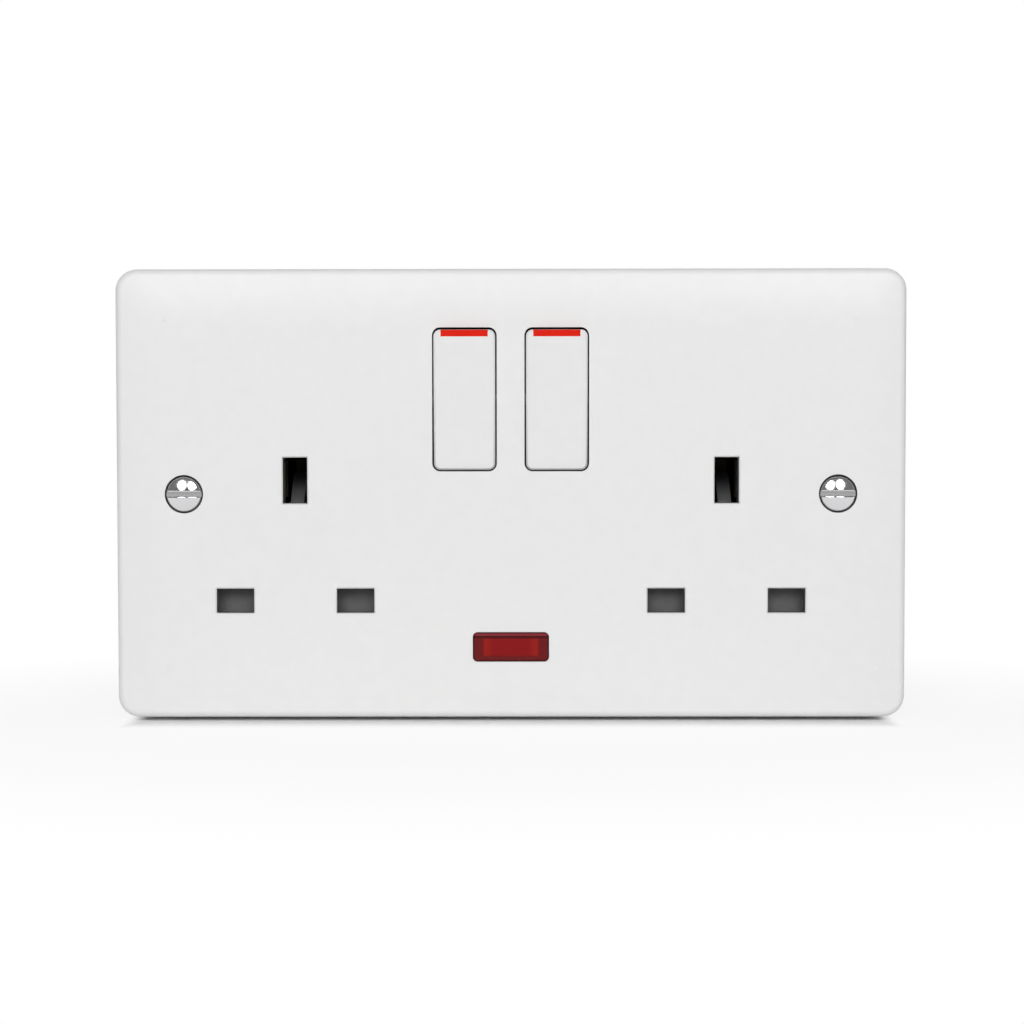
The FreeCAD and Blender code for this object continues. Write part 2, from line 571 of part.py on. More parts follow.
def make_faceplate():
    """The front moulding: crowned face, hollow back, collars, bosses and slots."""
    body = new_body("faceplate")
    raise_up(body, "block", "0", "size.plate_depth",
             (rounded, "0", "0", "size.plate_width", "size.plate_height", "size.plate_corner"))
    across(body, "crown_upright", "size.plate_width + size.beyond",
           *[crown_wedge("size.plate_height / 2", sign, False) for _, sign in SIDES], cut=True)
    across(body, "crown_sideways", "size.plate_height + size.beyond",
           *[crown_wedge("size.plate_width / 2", sign, True) for _, sign in SIDES],
           cut=True, role="XY_Plane")
    round_off(body, "crown_blend", "size.crown_round",
              lambda e: in_front(e) and not front_of_outline(e))
    round_off(body, "edge_round", "size.edge_round", front_of_outline)
    sink(body, "hollow", "place.inner_face", "-size.beyond",
         (rounded, "0", "0", "size.plate_width - 2 * size.skirt_wall",
          "size.plate_height - 2 * size.skirt_wall", "size.plate_corner - size.skirt_wall / 2"))
    collars = []
    wells = []
    apertures = []
    for _, sign in SIDES:
        x = f"({sign}) * size.rocker_pitch / 2"
        collars.append((rounded, x, "size.rocker_rise", "2 * (place.collar_x + size.collar_wall)",
                        "2 * (place.collar_z + size.collar_wall)", "size.collar_wall"))
        wells.append((centred, x, "size.rocker_rise", "2 * place.collar_x", "2 * place.collar_z"))
        apertures.append((rounded, x, "size.rocker_rise", "place.aperture_width",
                          "place.aperture_height", "size.rocker_corner + size.rocker_gap"))
    for name, one in (("left", 0), ("right", 1)):
        raise_up(body, f"{name}_collar", "place.deck", "place.inner_face + size.overlap", collars[one])
    sink(body, "collar_insides", "place.inner_face", "place.deck - size.beyond", *wells)
    bosses = [(circle, x, z, "size.assembly_boss") for x, z in screw_places()]
    raise_up(body, "screw_bosses", "place.deck", "place.inner_face + size.overlap", *bosses)
    fixings = [f"({sign}) * size.fixing_pitch / 2" for _, sign in SIDES]
    raise_up(body, "fixing_bosses", "size.boss_lift", "place.inner_face + size.overlap",
             *[(circle, x, "0", "size.fixing_boss") for x in fixings])
    over = "size.plate_depth + size.beyond"
    sink(body, "rocker_apertures", over, "place.deck", *apertures)
    slots = []
    lands = []
    for _, pin, x, z in pin_places():
        lead = "earth_slot" if pin == "earth" else "slot"
        wide, high = f"size.{lead}_width", f"size.{lead}_height"
        slots.append((centred, x, z, wide, high))
        lands.append((centred, x, z, f"{wide} + 2 * size.land_margin",
                      f"{high} + 2 * size.land_margin"))
    raise_up(body, "slot_lands", "place.inner_face - size.slot_land",
             "place.inner_face + size.overlap", *lands)
    face = number("size.plate_depth")
    known = {tuple(round(v, 4) for v in e.CenterOfMass) for e in body.Tip.Shape.Edges}
    sink(body, "pin_slots", over, "place.deck", *slots)
    round_off(body, "slot_rims", "size.slot_rim",
              lambda e: in_plane(-face)(e)
              and tuple(round(v, 4) for v in e.CenterOfMass) not in known
              and e.Length < number("size.earth_slot_height + size.overlap"), "PartDesign::Chamfer")
    sink(body, "lens_aperture", over, "place.deck",
         (rounded, "0", "place.lens_z", "size.lens_width", "size.lens_height", "size.lens_corner"))
    sink(body, "fixing_holes", over, "-size.beyond",
         *[(circle, x, "0", "size.fixing_hole") for x in fixings])
    sink(body, "head_recesses", over, "place.seat",
         *[(circle, x, "0", "size.recess_diameter") for x in fixings])
    sink(body, "screw_pilots", "place.inner_face - size.pilot_short", "place.deck - size.beyond",
         *[(circle, x, z, "size.assembly_screw + 2 * size.running_gap")
           for x, z in screw_places()])
    slot = "size.trunnion + 2 * size.running_gap"
    reach = "size.rocker_pitch + 2 * (place.collar_x + size.collar_wall + size.beyond)"
    across(body, "journal_slots", reach,
           (box, "-place.pivot", "0", f"size.rocker_rise - ({slot}) / 2",
            f"size.rocker_rise + ({slot}) / 2"), cut=True)
    across(body, "journals", reach, (circle, "-place.pivot", "size.rocker_rise", slot), cut=True)
    return body


def make_housing():
    """The rear moulding: chambers, wells and channels cut from its front, a shelf behind."""
    body = new_body("rear_housing")
    wide, narrow = "size.housing_wide / 2", "size.housing_narrow / 2"
    raise_up(body, "block", "place.back", "place.deck",
             (polygon, (f"-{wide}", "-size.housing_bottom"), (wide, "-size.housing_bottom"),
              (wide, "-size.housing_step"), (narrow, "-size.housing_step"),
              (narrow, "size.housing_top"), (f"-{narrow}", "size.housing_top"),
              (f"-{narrow}", "-size.housing_step"), (f"-{wide}", "-size.housing_step")))
    depth = number("place.deck - place.back")
    round_off(body, "corners", "size.housing_corner",
              lambda e: abs(e.BoundBox.YLength - depth) < 1e-4)
    round_off(body, "bevel", "size.housing_bevel", in_plane(number("size.housing_back")),
              "PartDesign::Chamfer")
    bays = []
    for i in range(4):
        x = f"({i} - 1.5) * size.terminal_pitch"
        half = "(size.terminal_pitch - size.barrier) / 2"
        bays.append((box, f"{x} - {half}", f"{x} + {half}", "-size.housing_bottom - size.beyond",
                     "place.terminal_top"))
    sink(body, "terminal_bays", "place.shelf", "place.back - size.beyond", *bays)
    wells = [(centred, f"({sign}) * size.rocker_pitch / 2", "size.rocker_rise",
              "2 * place.collar_x", "2 * place.collar_z") for _, sign in SIDES]
    sink(body, "switch_wells", "place.deck", "place.strap_back", *wells)
    sink(body, "contact_room", "place.knuckle + size.cradle", "place.strap_back",
         (centred, "0", "size.rocker_rise", "size.rocker_pitch + 2 * place.collar_x",
          "2 * place.collar_z"))
    cut_chambers(body)
    cut_channels(body)
    cut_lamp_room(body)
    holes = list(screw_places())
    sink(body, "screw_holes", "place.deck + size.beyond", "place.back - size.beyond",
         *[(circle, x, z, "size.assembly_screw + 2 * size.room") for x, z in holes])
    sink(body, "screw_seats", "-size.assembly_seat", "place.back - size.beyond",
         *[(circle, x, z, "size.assembly_head + 3 * size.room") for x, z in holes])
    keepers = []
    for _, sign in SIDES:
        for edge in ("-1", "1"):
            x = (f"({sign}) * size.rocker_pitch / 2"
                 f" + ({edge}) * (place.collar_x + size.collar_wall / 2)")
            keepers.append((centred, x, "size.rocker_rise", "size.collar_wall - size.room",
                            "size.trunnion - size.room"))
    raise_up(body, "keepers", "place.deck - size.overlap",
             "place.pivot - size.trunnion / 2 - 2 * size.running_gap", *keepers)
    return body


def cut_chambers(body):
    """The six clip chambers, and the room for each shutter's ramp, lug and spring."""
    shallow, deep, ramps, springs = [], [], [], []
    for _, pin, x, z in pin_places():
        if pin != "earth":
            shallow.append((centred, x, z, "size.clip_width + 2 * size.room",
                            "2 * place.chamber_half"))
            continue
        deep.append((centred, x, z, "2 * place.chamber_half",
                     "size.earth_slot_height + 2 * size.room"))
        half = "(size.ramp_width / 2 + size.slide_room)"
        ramps.append((box, f"{x} - {half}", f"{x} + {half}",
                      "place.pin_row + place.ramp_foot - size.shutter_travel - size.slide_room", z))
        half = "(size.spring_outer / 2 + size.slide_room)"
        springs.append((box, f"{x} - {half}", f"{x} + {half}", "place.pin_row - size.spring_drop",
                        "place.pin_row + place.lug_foot + size.lug_height + size.slide_room"))
    sink(body, "pin_chambers", "place.deck", "place.clip_back", *shallow)
    sink(body, "earth_chambers", "place.deck", "place.earth_strap_back", *deep)
    sink(body, "ramp_rooms", "place.deck", "place.ramp_back - size.slide_room", *ramps)
    sink(body, "spring_rooms", "place.deck",
         "place.spring_height - size.spring_outer / 2 - size.slide_room", *springs)


def cut_channels(body):
    """The channels that the straps lie in."""
    leg = "(size.leg_width / 2 + size.room)"
    run = "(size.strap_width / 2 + size.room)"
    sink(body, "neutral_channel", "place.deck", "place.neutral_back",
         (box, f"place.left_neutral - {leg}", f"place.right_neutral + {leg}",
          "place.neutral_bottom - size.room", "place.neutral_top + size.room"))
    risers = [(box, f"{x} - {leg}", f"{x} + {leg}", "place.neutral_top",
               "place.pin_row - place.clip_half - size.leaf_flare")
              for x in ("place.left_neutral", "place.right_neutral")]
    sink(body, "neutral_risers", "place.deck", "place.neutral_back", *risers)
    sink(body, "neutral_exit", "place.neutral_back + size.overlap", "place.shelf - size.overlap",
         (centred, "-size.terminal_pitch / 2", "place.lens_z",
          "size.leg_width + 2 * size.room", "size.strap + 2 * size.room"))
    reach = "(size.socket_pitch / 2 + place.chamber_half)"
    sink(body, "earth_channel", "place.deck", "place.earth_strap_back",
         (box, f"-{reach}", reach, "place.earth_bottom - size.room",
          "place.earth_top + size.room"))
    legs = [(box, f"({s}) * 1.5 * size.terminal_pitch - {leg}",
             f"({s}) * 1.5 * size.terminal_pitch + {leg}", "place.terminal_top - size.overlap",
             "place.earth_bottom") for _, s in SIDES]
    sink(body, "earth_legs", "place.deck", "place.earth_strap_back", *legs)
    sink(body, "line_leg", "place.deck", "place.strap_back",
         (box, f"size.terminal_pitch / 2 - {leg}", f"size.terminal_pitch / 2 + {leg}",
          "place.terminal_top - size.overlap", "place.rocker_foot + size.overlap"))
    for name, sign, foot in (("left", "-1", "place.clip_top"), ("right", "1", "place.cross_z")):
        side = f"({sign}) * place.run_x"
        sink(body, f"{name}_run", "place.deck", "place.strap_back",
             (box, f"{side} - {run}", f"{side} + {run}", f"{foot} - {run}",
              f"place.tip_z + {run}"))
        inner, outer = f"({sign}) * place.collar_x", f"({sign}) * place.run_x"
        ends = (outer, inner) if sign == "-1" else (inner, outer)
        sink(body, f"{name}_entry", "place.knuckle + size.cradle", "place.strap_back",
             (box, *ends, f"place.tip_z - {run}", f"place.tip_z + {run}"))
    sink(body, "left_foot", "place.deck", "place.strap_back",
         (box, f"place.left_line - {run}", f"-place.run_x + {run}",
          "place.clip_top - size.room", "place.clip_top + size.strap_width + size.room"))
    sink(body, "right_crossing", "place.deck", "place.strap_back",
         (box, f"place.run_x - {run}", f"place.right_line + {run}",
          f"place.cross_z - {run}", f"place.cross_z + {run}"))
    sink(body, "right_foot", "place.deck", "place.strap_back",
         (box, f"place.right_line - {run}", f"place.right_line + {run}", "place.clip_top",
          "place.cross_z"))


def cut_lamp_room(body):
    """The room for the lamp and for its resistor."""
    sink(body, "lamp_room", "place.deck", "place.neutral_front",
         (box, "-size.lamp_length / 2 - size.lamp_room", "size.resistor_x + size.resistor_room",
          "place.lens_z - size.lamp_room", "place.lens_z + size.lamp_room"))
    sink(body, "resistor_room", "place.deck",
         "size.lamp_height - size.resistor / 2 - size.room",
         (box, "size.resistor_x - size.resistor_room", "size.resistor_x + size.resistor_room",
          "place.lens_z", "place.resistor_head + size.lead_up + size.resistor_room"))


def half_domed(sketch, start, end, radius, dome):
    """Half of a rod seen from the side: flat at its start, domed at its end."""
    first = sketch.GeometryCount
    s, e, r, d = number(start), number(end), number(radius), number(dome)
    way = 1 if e > s else -1
    rim = e - way * (d - math.sqrt(d * d - r * r))
    centre = e - way * d
    lift = math.asin(r / d)
    ring = Part.Circle(Vector(centre, 0, 0), Vector(0, 0, 1), d)
    sketch.addGeometry(Part.LineSegment(Vector(s, 0, 0), Vector(s, r, 0)))
    sketch.addGeometry(Part.LineSegment(Vector(s, r, 0), Vector(rim, r, 0)))
    if way > 0:
        sketch.addGeometry(Part.ArcOfCircle(ring, 0, lift))
    else:
        sketch.addGeometry(Part.ArcOfCircle(ring, math.pi - lift, math.pi))
    sketch.addGeometry(Part.LineSegment(Vector(e, 0, 0), Vector(s, 0, 0)))
    tip, edge = (1, 2) if way > 0 else (2, 1)
    joins = ((0, 2, 1, 1), (1, 2, 2, edge), (2, tip, 3, 1), (3, 2, 0, 1))
    for one, here, other, there in joins:
        sketch.addConstraint(
            Sketcher.Constraint("Coincident", first + one, here, first + other, there))
    sketch.addConstraint(Sketcher.Constraint("Horizontal", first + 1))
    sketch.addConstraint(Sketcher.Constraint("PointOnObject", first + 2, 3, -1))
    hold_point(sketch, first, 1, start, "0")
    hold_point(sketch, first, 2, start, radius)
    hold(sketch, "DistanceX", -1, 1, first + 3, 1, at=end)
    sketch.addConstraint(Sketcher.Constraint("PointOnObject", first + 3, 1, -1))
    hold(sketch, "Radius", first + 2, at=dome)


def rocker_body(label, sign):
    """A body at a rocker's pivot, tilted to the on position."""
    return new_body(label, f"({sign}) * size.rocker_pitch / 2", "-place.pivot",
                    "size.rocker_rise", turn="size.rocker_tilt")


def make_rocker(side, sign):
    """A hollow rocker with pivot stubs, a bored stem and a recess for its flash."""
    body = rocker_body(f"{side}_rocker", sign)
    raise_up(body, "cap", "-size.rocker_skirt", "place.rocker_front",
             (rounded, "0", "0", "size.rocker_width", "2 * place.rocker_tip", "size.rocker_corner"))
    round_off(body, "edge", "size.rocker_edge", in_plane(-number("place.rocker_front")),
              "PartDesign::Chamfer")
    face = "place.rocker_front - size.rocker_wall"
    sink(body, "hollow", face, "-size.rocker_skirt - size.beyond",
         (centred, "0", "0", "size.rocker_width - 2 * size.rocker_wall",
          "2 * (place.rocker_tip - size.rocker_wall - size.rocker_edge)"))
    raise_up(body, "stem", "-size.stem_reach", f"{face} + size.overlap",
             (circle, "0", "0", "size.stem"))
    across(body, "trunnions", "size.rocker_width + 2 * size.trunnion_reach",
           (circle, "0", "0", "size.trunnion"))
    sink(body, "bore", "size.bore_end", "-size.stem_reach - size.beyond",
         (circle, "0", "0", "size.plunger + 2 * size.running_gap"))
    across(body, "flash_recess", "size.flash_width",
           (box, "-place.rocker_front - size.beyond", "-place.rocker_front + size.flash_depth",
            "place.rocker_tip - size.flash_height", "place.rocker_tip + size.beyond"), cut=True)
    return body


def make_flash(side, sign):
    """The red inlay at the upper end of a rocker."""
    body = rocker_body(f"{side}_rocker_flash", sign)
    across(body, "inlay", "size.flash_width",
           (box, "-place.rocker_front", "size.flash_depth - place.rocker_front",
            "place.rocker_tip - size.flash_height", "place.rocker_tip"))
    return body


def make_plunger(side, sign):
    """The sprung rod in a rocker's stem, with a domed tip."""
    body = rocker_body(f"{side}_plunger", sign)
    sketch = new_sketch(body, "half", "YZ_Plane", "0")
    half_domed(sketch, "size.plunger_seat", "size.plunger_reach", "size.plunger / 2",
               "size.plunger_dome")
    spin(body, "rod", sketch, "H_Axis")
    return body


def make_coil(body, outer, wire, length, turns):
    """A coil spring along the body's Z axis, from its origin up, with a square section."""
    sketch = new_sketch(body, "wire", "XZ_Plane", "0")
    centred(sketch, f"({outer}) / 2 - ({wire}) / 2", f"({wire}) / 2", wire, wire)
    coil = body.newObject("PartDesign::AdditiveHelix", "coil")
    coil.Profile = sketch
    coil.ReferenceAxis = (sketch, ["V_Axis"])
    coil.Mode = "height-turns-angle"
    coil.setExpression("Height", f"({length}) - ({wire})")
    coil.setExpression("Turns", turns)
    return settle(coil)


def make_plunger_spring(side, sign):
    """The spring between the end of a stem's bore and its plunger."""
    tilt = "size.rocker_tilt * 1 deg"
    body = new_body(f"{side}_plunger_spring", f"({sign}) * size.rocker_pitch / 2",
                    f"-place.pivot - size.bore_end * cos({tilt})",
                    f"size.rocker_rise - size.bore_end * sin({tilt})",
                    turn="size.rocker_tilt - 90")
    make_coil(body, "size.plunger - 2 * size.coil_gap", "size.spring_wire",
              "size.bore_end + size.plunger_seat", "size.plunger_turns")
    return body


def seesaw_body(label, sign):
    """A body at a moving contact's pivot, turned to the closed position."""
    return new_body(label, f"({sign}) * size.rocker_pitch / 2", "-place.knuckle",
                    "size.rocker_rise", turn="-place.stroke")


def make_moving_contact(side, sign):
    """The see-saw that the plunger throws over."""
    body = seesaw_body(f"{side}_moving_contact", sign)
    across(body, "strip", "size.seesaw_width",
           (box, "-size.knuckle", "size.seesaw_thickness - size.knuckle",
            "-size.seesaw_lower", "size.seesaw_upper"))
    thick = number("size.seesaw_thickness")
    round_off(body, "ends", "size.seesaw_width / 4",
              lambda e: abs(e.Length - thick) < 1e-4 and abs(e.BoundBox.YLength - thick) < 1e-4)
    across(body, "knuckle", "size.seesaw_width", (circle, "0", "0", "2 * size.knuckle"))
    return body


def make_moving_tip(side, sign):
    """The domed silver tip on the upper arm of a moving contact."""
    body = seesaw_body(f"{side}_moving_tip", sign)
    sketch = new_sketch(body, "half", "YZ_Plane", "0")
    sketch.setExpression("AttachmentOffset.Base.y", "size.tip_arm")
    half_domed(sketch, "size.seesaw_thickness - size.knuckle", "place.tip_face",
               "size.tip_diameter / 2", "size.tip_dome")
    spin(body, "button", sketch, "H_Axis")
    return body


def make_fixed_tip(side, sign):
    """The flat silver tip on a switched strap."""
    body = new_body(f"{side}_fixed_tip", f"({sign}) * size.rocker_pitch / 2",
                    "-place.strap_front", "place.tip_z")
    raise_up(body, "button", "0", "size.fixed_rise", (circle, "0", "0", "size.tip_diameter"))
    return body


def make_switched_strap(side):
    """The strap from a switch's fixed tip to the line clip of its socket."""
    body = new_body(f"{side}_switched_strap")
    w = "size.strap_width / 2"
    high, low = f"place.tip_z + {w}", f"place.tip_z - {w}"
    if side == "left":
        near, run = "-size.rocker_pitch / 2 + size.strap_end", "-place.run_x"
        foot, lift = "place.clip_top", "place.clip_top + size.strap_width"
        points = [(near, low), (f"{run} + {w}", low), (f"{run} + {w}", foot),
                  (f"place.left_line - {w}", foot), (f"place.left_line - {w}", lift),
                  (f"{run} - {w}", lift), (f"{run} - {w}", high), (near, high)]
    else:
        near, run = "size.rocker_pitch / 2 - size.strap_end", "place.run_x"
        over, under = f"place.cross_z + {w}", f"place.cross_z - {w}"
        points = [(near, high), (f"{run} + {w}", high), (f"{run} + {w}", over),
                  (f"place.right_line + {w}", over), (f"place.right_line + {w}", "place.clip_top"),
                  (f"place.right_line - {w}", "place.clip_top"),
                  (f"place.right_line - {w}", under), (f"{run} - {w}", under),
                  (f"{run} - {w}", low), (near, low)]
    raise_up(body, "strip", "place.strap_back", "place.strap_front", (polygon, *points))
    return body


def make_line_strap():
    """The strap from the line terminal to both moving contacts, with a cradle for each."""
    body = new_body("line_strap")
    end, low = "size.rocker_pitch / 2 + size.bar_end", "size.rocker_rise - size.line_bar / 2"
    high = "size.rocker_rise + size.line_bar / 2"
    leg, foot = "size.terminal_pitch / 2", "place.terminal_top"
    half = "size.leg_width / 2"
    raise_up(body, "strip", "place.strap_back", "place.strap_front",
             (polygon, (f"-({end})", low), (f"{leg} - {half}", low), (f"{leg} - {half}", foot),
              (f"{leg} + {half}", foot), (f"{leg} + {half}", low), (end, low), (end, high),
              (f"-({end})", high)))
    cradles = [(centred, f"({s}) * size.rocker_pitch / 2", "size.rocker_rise",
                "size.seesaw_width", "size.cradle") for _, s in SIDES]
    raise_up(body, "cradles", "place.strap_front - size.overlap",
             "place.knuckle - size.cradle_step", *cradles)
    across(body, "grooves", "size.rocker_pitch + 2 * size.seesaw_width",
           (circle, "-place.knuckle", "size.rocker_rise",
            "2 * (size.knuckle + size.running_gap)"), cut=True)
    return body


def make_neutral_strap():
    """The strap from the neutral terminal to both neutral clips."""
    body = new_body("neutral_strap")
    half, top = "size.leg_width / 2", "place.pin_row - place.clip_half - size.leaf_flare"
    low, bar = "place.neutral_bottom", "place.neutral_top"
    left, right = "place.left_neutral", "place.right_neutral"
    raise_up(body, "strip", "place.neutral_back", "place.neutral_front",
             (polygon, (f"{left} - {half}", low), (f"{right} + {half}", low),
              (f"{right} + {half}", top), (f"{right} - {half}", top),
              (f"{right} - {half}", bar), (f"{left} + {half}", bar),
              (f"{left} + {half}", top), (f"{left} - {half}", top)))
    raise_up(body, "tab", "place.shelf", "place.neutral_front - size.overlap",
             (centred, "-size.terminal_pitch / 2", "place.lens_z", "size.leg_width", "size.strap"))
    return body


def make_earth_strap():
    """The strap that joins both earth clips and both earth terminals."""
    body = new_body("earth_strap")
    end, half = "(size.socket_pitch / 2 + place.clip_half)", "size.leg_width / 2"
    low, high, foot = "place.earth_bottom", "place.earth_top", "place.terminal_top"
    leg = "1.5 * size.terminal_pitch"
    raise_up(body, "strip", "place.earth_strap_back", "place.earth_back",
             (polygon, (f"-{end}", low), (f"-{leg} - {half}", low), (f"-{leg} - {half}", foot),
              (f"-{leg} + {half}", foot), (f"-{leg} + {half}", low), (f"{leg} - {half}", low),
              (f"{leg} - {half}", foot), (f"{leg} + {half}", foot), (f"{leg} + {half}", low),
              (end, low), (end, high), (f"-{end}", high)))
    return body


def make_clip(side, pin, x, z):
    """A bent clip with two leaves and a flared mouth, open to the front."""
    earth = pin == "earth"
    body = new_body(f"{side}_{pin}_clip", x, "0", z, Vector(0, 1, 0), "90" if earth else None)
    mouth, floor = ("place.earth_mouth", "place.earth_floor") if earth else (
        "place.clip_mouth", "place.clip_floor")
    front, neck, end = f"-{mouth}", f"size.flare_length - {mouth}", f"-{floor}"
    g, t, f = "place.half_gap", "size.leaf", "size.leaf_flare"
    upper = [(front, f"{g} + {f}"), (neck, g), (end, g)]
    lower = [(end, f"-{g}"), (neck, f"-{g}"), (front, f"-{g} - {f}")]
    outer = [(front, f"-{g} - {f} - {t}"), (neck, f"-{g} - {t}"), (f"{end} + {t}", f"-{g} - {t}"),
             (f"{end} + {t}", f"{g} + {t}"), (neck, f"{g} + {t}"), (front, f"{g} + {f} + {t}")]
    across(body, "leaves", "size.earth_clip_width" if earth else "size.clip_width",
           (polygon, *upper, *lower, *outer))
    return body


def make_terminal(label, place):
    """A block with a wire entry from below and a threaded hole from behind."""
    body = new_body(label, f"({place} - 1.5) * size.terminal_pitch")
    half = "size.terminal_width / 2"
    raise_up(body, "block", "place.shelf - size.terminal_depth", "place.shelf",
             (box, f"-{half}", half, "place.terminal_bottom", "place.terminal_top"))
    before = body.Tip.Shape.Volume
    sketch = new_sketch(body, "entry_outline", "XY_Plane", "place.terminal_bottom")
    circle(sketch, "0", "-place.bore_height", "size.wire_bore")
    entry = body.newObject("PartDesign::Pocket", "wire_entry")
    entry.Profile = sketch
    entry.Reversed = True
    entry.setExpression("Length", "size.wire_depth")
    settle(entry)
    if not entry.Shape.Volume < before - 1:
        raise RuntimeError(f"{label}: the wire entry removes nothing")
    sink(body, "clamp_hole", "place.bore_height",
         "place.shelf - size.terminal_depth - size.beyond",
         (circle, "0", "place.clamp_z", "size.clamp_screw + 2 * size.running_gap"))
    return body


def make_clamp_screw(place):
    """A slotted clamp screw, backed off as supplied."""
    body = new_body(f"clamp_screw_{place}", f"({place} - 1.5) * size.terminal_pitch", "0",
                    "place.clamp_z")
    seat = "place.shelf - size.terminal_depth - size.clamp_back_off"
    raise_up(body, "head", f"{seat} - size.clamp_head_rise", seat,
             (circle, "0", "0", "size.clamp_head"))
    raise_up(body, "shank", f"{seat} - size.overlap",
             "place.bore_height - size.wire_bore / 2 - size.running_gap",
             (circle, "0", "0", "size.clamp_screw"))
    sink(body, "slot", f"{seat} - size.clamp_head_rise + size.clamp_slot",
         f"{seat} - size.clamp_head_rise - size.beyond",
         (centred, "0", "0", "size.clamp_head + size.beyond", "size.clamp_slot"))
    return body


def make_fixing_screw(side, sign):
    """A slotted screw with a raised head, a plain neck and a shank behind the wall plane."""
    body = new_body(f"{side}_fixing_screw", f"({sign}) * size.fixing_pitch / 2", "-place.seat")
    sketch = new_sketch(body, "half", "YZ_Plane", "0")
    half_domed(sketch, "0", "-place.head_top", "size.fixing_head / 2", "place.head_round")
    spin(body, "head", sketch, "H_Axis")
    raise_up(body, "neck", "-place.seat - size.overlap", "size.overlap",
             (circle, "0", "0", "size.fixing_neck"))
    raise_up(body, "shank", "-size.fixing_length", "-place.seat",
             (circle, "0", "0", "size.fixing_screw"))
    sink(body, "slot", "place.head_top + size.beyond", "place.head_top - size.head_slot_depth",
         (centred, "0", "0", "size.fixing_head + size.beyond", "size.head_slot"))
    return body


def make_housing_screw(index, x, z):
    """A slotted screw that holds the rear housing to a boss of the faceplate."""
    body = new_body(f"housing_screw_{index}", x, "size.assembly_seat", z)
    raise_up(body, "head", "-size.assembly_head_rise", "0", (circle, "0", "0", "size.assembly_head"))
    raise_up(body, "shank", "-size.overlap",
             "size.assembly_seat + place.inner_face - size.assembly_short",
             (circle, "0", "0", "size.assembly_screw"))
    sink(body, "slot", "size.assembly_slot_depth - size.assembly_head_rise",
         "-size.assembly_head_rise - size.beyond",
         (centred, "0", "0", "size.assembly_head + size.beyond", "size.assembly_slot"))
    return body


def make_lens():
    """The hollow lens with a flange behind the face and a bevelled front."""
    body = new_body("neon_lens", z="place.lens_z")
    wide = "size.lens_width + 2 * size.lens_flange"
    raise_up(body, "flange", "place.inner_face - size.flange_depth", "place.inner_face",
             (rounded, "0", "0", wide, "size.lens_height + 2 * size.lens_flange",
              "size.lens_corner"))
    front = "size.plate_depth + size.lens_proud"
    raise_up(body, "window", "place.inner_face - size.overlap", front,
             (rounded, "0", "0", "size.lens_width - 2 * size.lens_gap",
              "size.lens_height - 2 * size.lens_gap", "size.lens_corner - size.lens_gap"))
    round_off(body, "bevel", "size.lens_bevel", in_plane(-number(front)), "PartDesign::Chamfer")
    sink(body, "hollow", f"{front} - size.lens_wall",
         "place.inner_face - size.flange_depth - size.beyond",
         (centred, "0", "0", "size.lens_width - 2 * size.lens_end",
          "size.lens_height - 2 * size.lens_wall"))
    return body


def make_lamp():
    """The glass of the lamp, hollow, with a flat pinch at its lead end."""
    body = new_body("lamp_glass", "place.lamp_x", "-size.lamp_height", "place.lens_z")
    across(body, "tube", "size.lamp_length", (circle, "0", "0", "size.lamp_diameter"))
    end = -number("size.lamp_length") / 2
    round_off(body, "closed_end", "size.lamp_bevel",
              lambda e: abs(e.BoundBox.XMin - end) < 1e-4 and abs(e.BoundBox.XMax - end) < 1e-4,
              "PartDesign::Chamfer")
    across(body, "inside", "size.lamp_length - 4 * size.glass",
           (circle, "0", "0", "size.lamp_diameter - 2 * size.glass"), cut=True)
    across(body, "pinch", "size.pinch_length + 2 * size.glass",
           (centred, "0", "0", "size.pinch_depth", "size.electrode_spread + 2 * size.electrode"),
           at="(size.lamp_length + size.pinch_length) / 2 - size.glass")
    return body


def make_electrodes():
    """The two rods inside the lamp."""
    body = new_body("lamp_electrodes", "place.lamp_x", "-size.lamp_height", "place.lens_z")
    rods = [(circle, "0", f"({s}) * size.electrode_spread / 2", "size.electrode")
            for _, s in SIDES]
    across(body, "rods", "size.lamp_length - 4 * size.glass - 2 * size.electrode", *rods,
           at="size.electrode")
    return body


def bent_path(sketch, start, end, bend, flat_first):
    """A spine of two straight lines, square to each other, with a bend between them."""
    (ax, ay), (bx, by) = start, end
    sx, sy, ex, ey, r = number(ax), number(ay), number(bx), number(by), number(bend)
    wx, wy = (1 if ex > sx else -1), (1 if ey > sy else -1)
    cx, cy = (ex, sy) if flat_first else (sx, ey)
    if flat_first:
        one, two, hub = (cx - wx * r, cy), (cx, cy + wy * r), (cx - wx * r, cy + wy * r)
    else:
        one, two, hub = (cx, cy - wy * r), (cx + wx * r, cy), (cx + wx * r, cy - wy * r)
    sketch.addGeometry(Part.LineSegment(Vector(sx, sy, 0), Vector(*one, 0)))
    sketch.addGeometry(Part.LineSegment(Vector(*two, 0), Vector(ex, ey, 0)))
    a1 = math.atan2(one[1] - hub[1], one[0] - hub[0])
    a2 = math.atan2(two[1] - hub[1], two[0] - hub[0])
    ring = Part.Circle(Vector(*hub, 0), Vector(0, 0, 1), r)
    turn = (a2 - a1) % (2 * math.pi)
    ahead = turn < math.pi
    first, last = (a1, a1 + turn) if ahead else (a2, a2 + 2 * math.pi - turn)
    sketch.addGeometry(Part.ArcOfCircle(ring, first, last))
    sketch.addConstraint(Sketcher.Constraint("Tangent", 0, 2, 2, 1 if ahead else 2))
    sketch.addConstraint(Sketcher.Constraint("Tangent", 2, 2 if ahead else 1, 1, 1))
    sketch.addConstraint(Sketcher.Constraint("Horizontal" if flat_first else "Vertical", 0))
    sketch.addConstraint(Sketcher.Constraint("Vertical" if flat_first else "Horizontal", 1))
    hold_point(sketch, 0, 1, ax, ay)
    hold_point(sketch, 1, 2, bx, by)
    hold(sketch, "Radius", 2, at=bend)


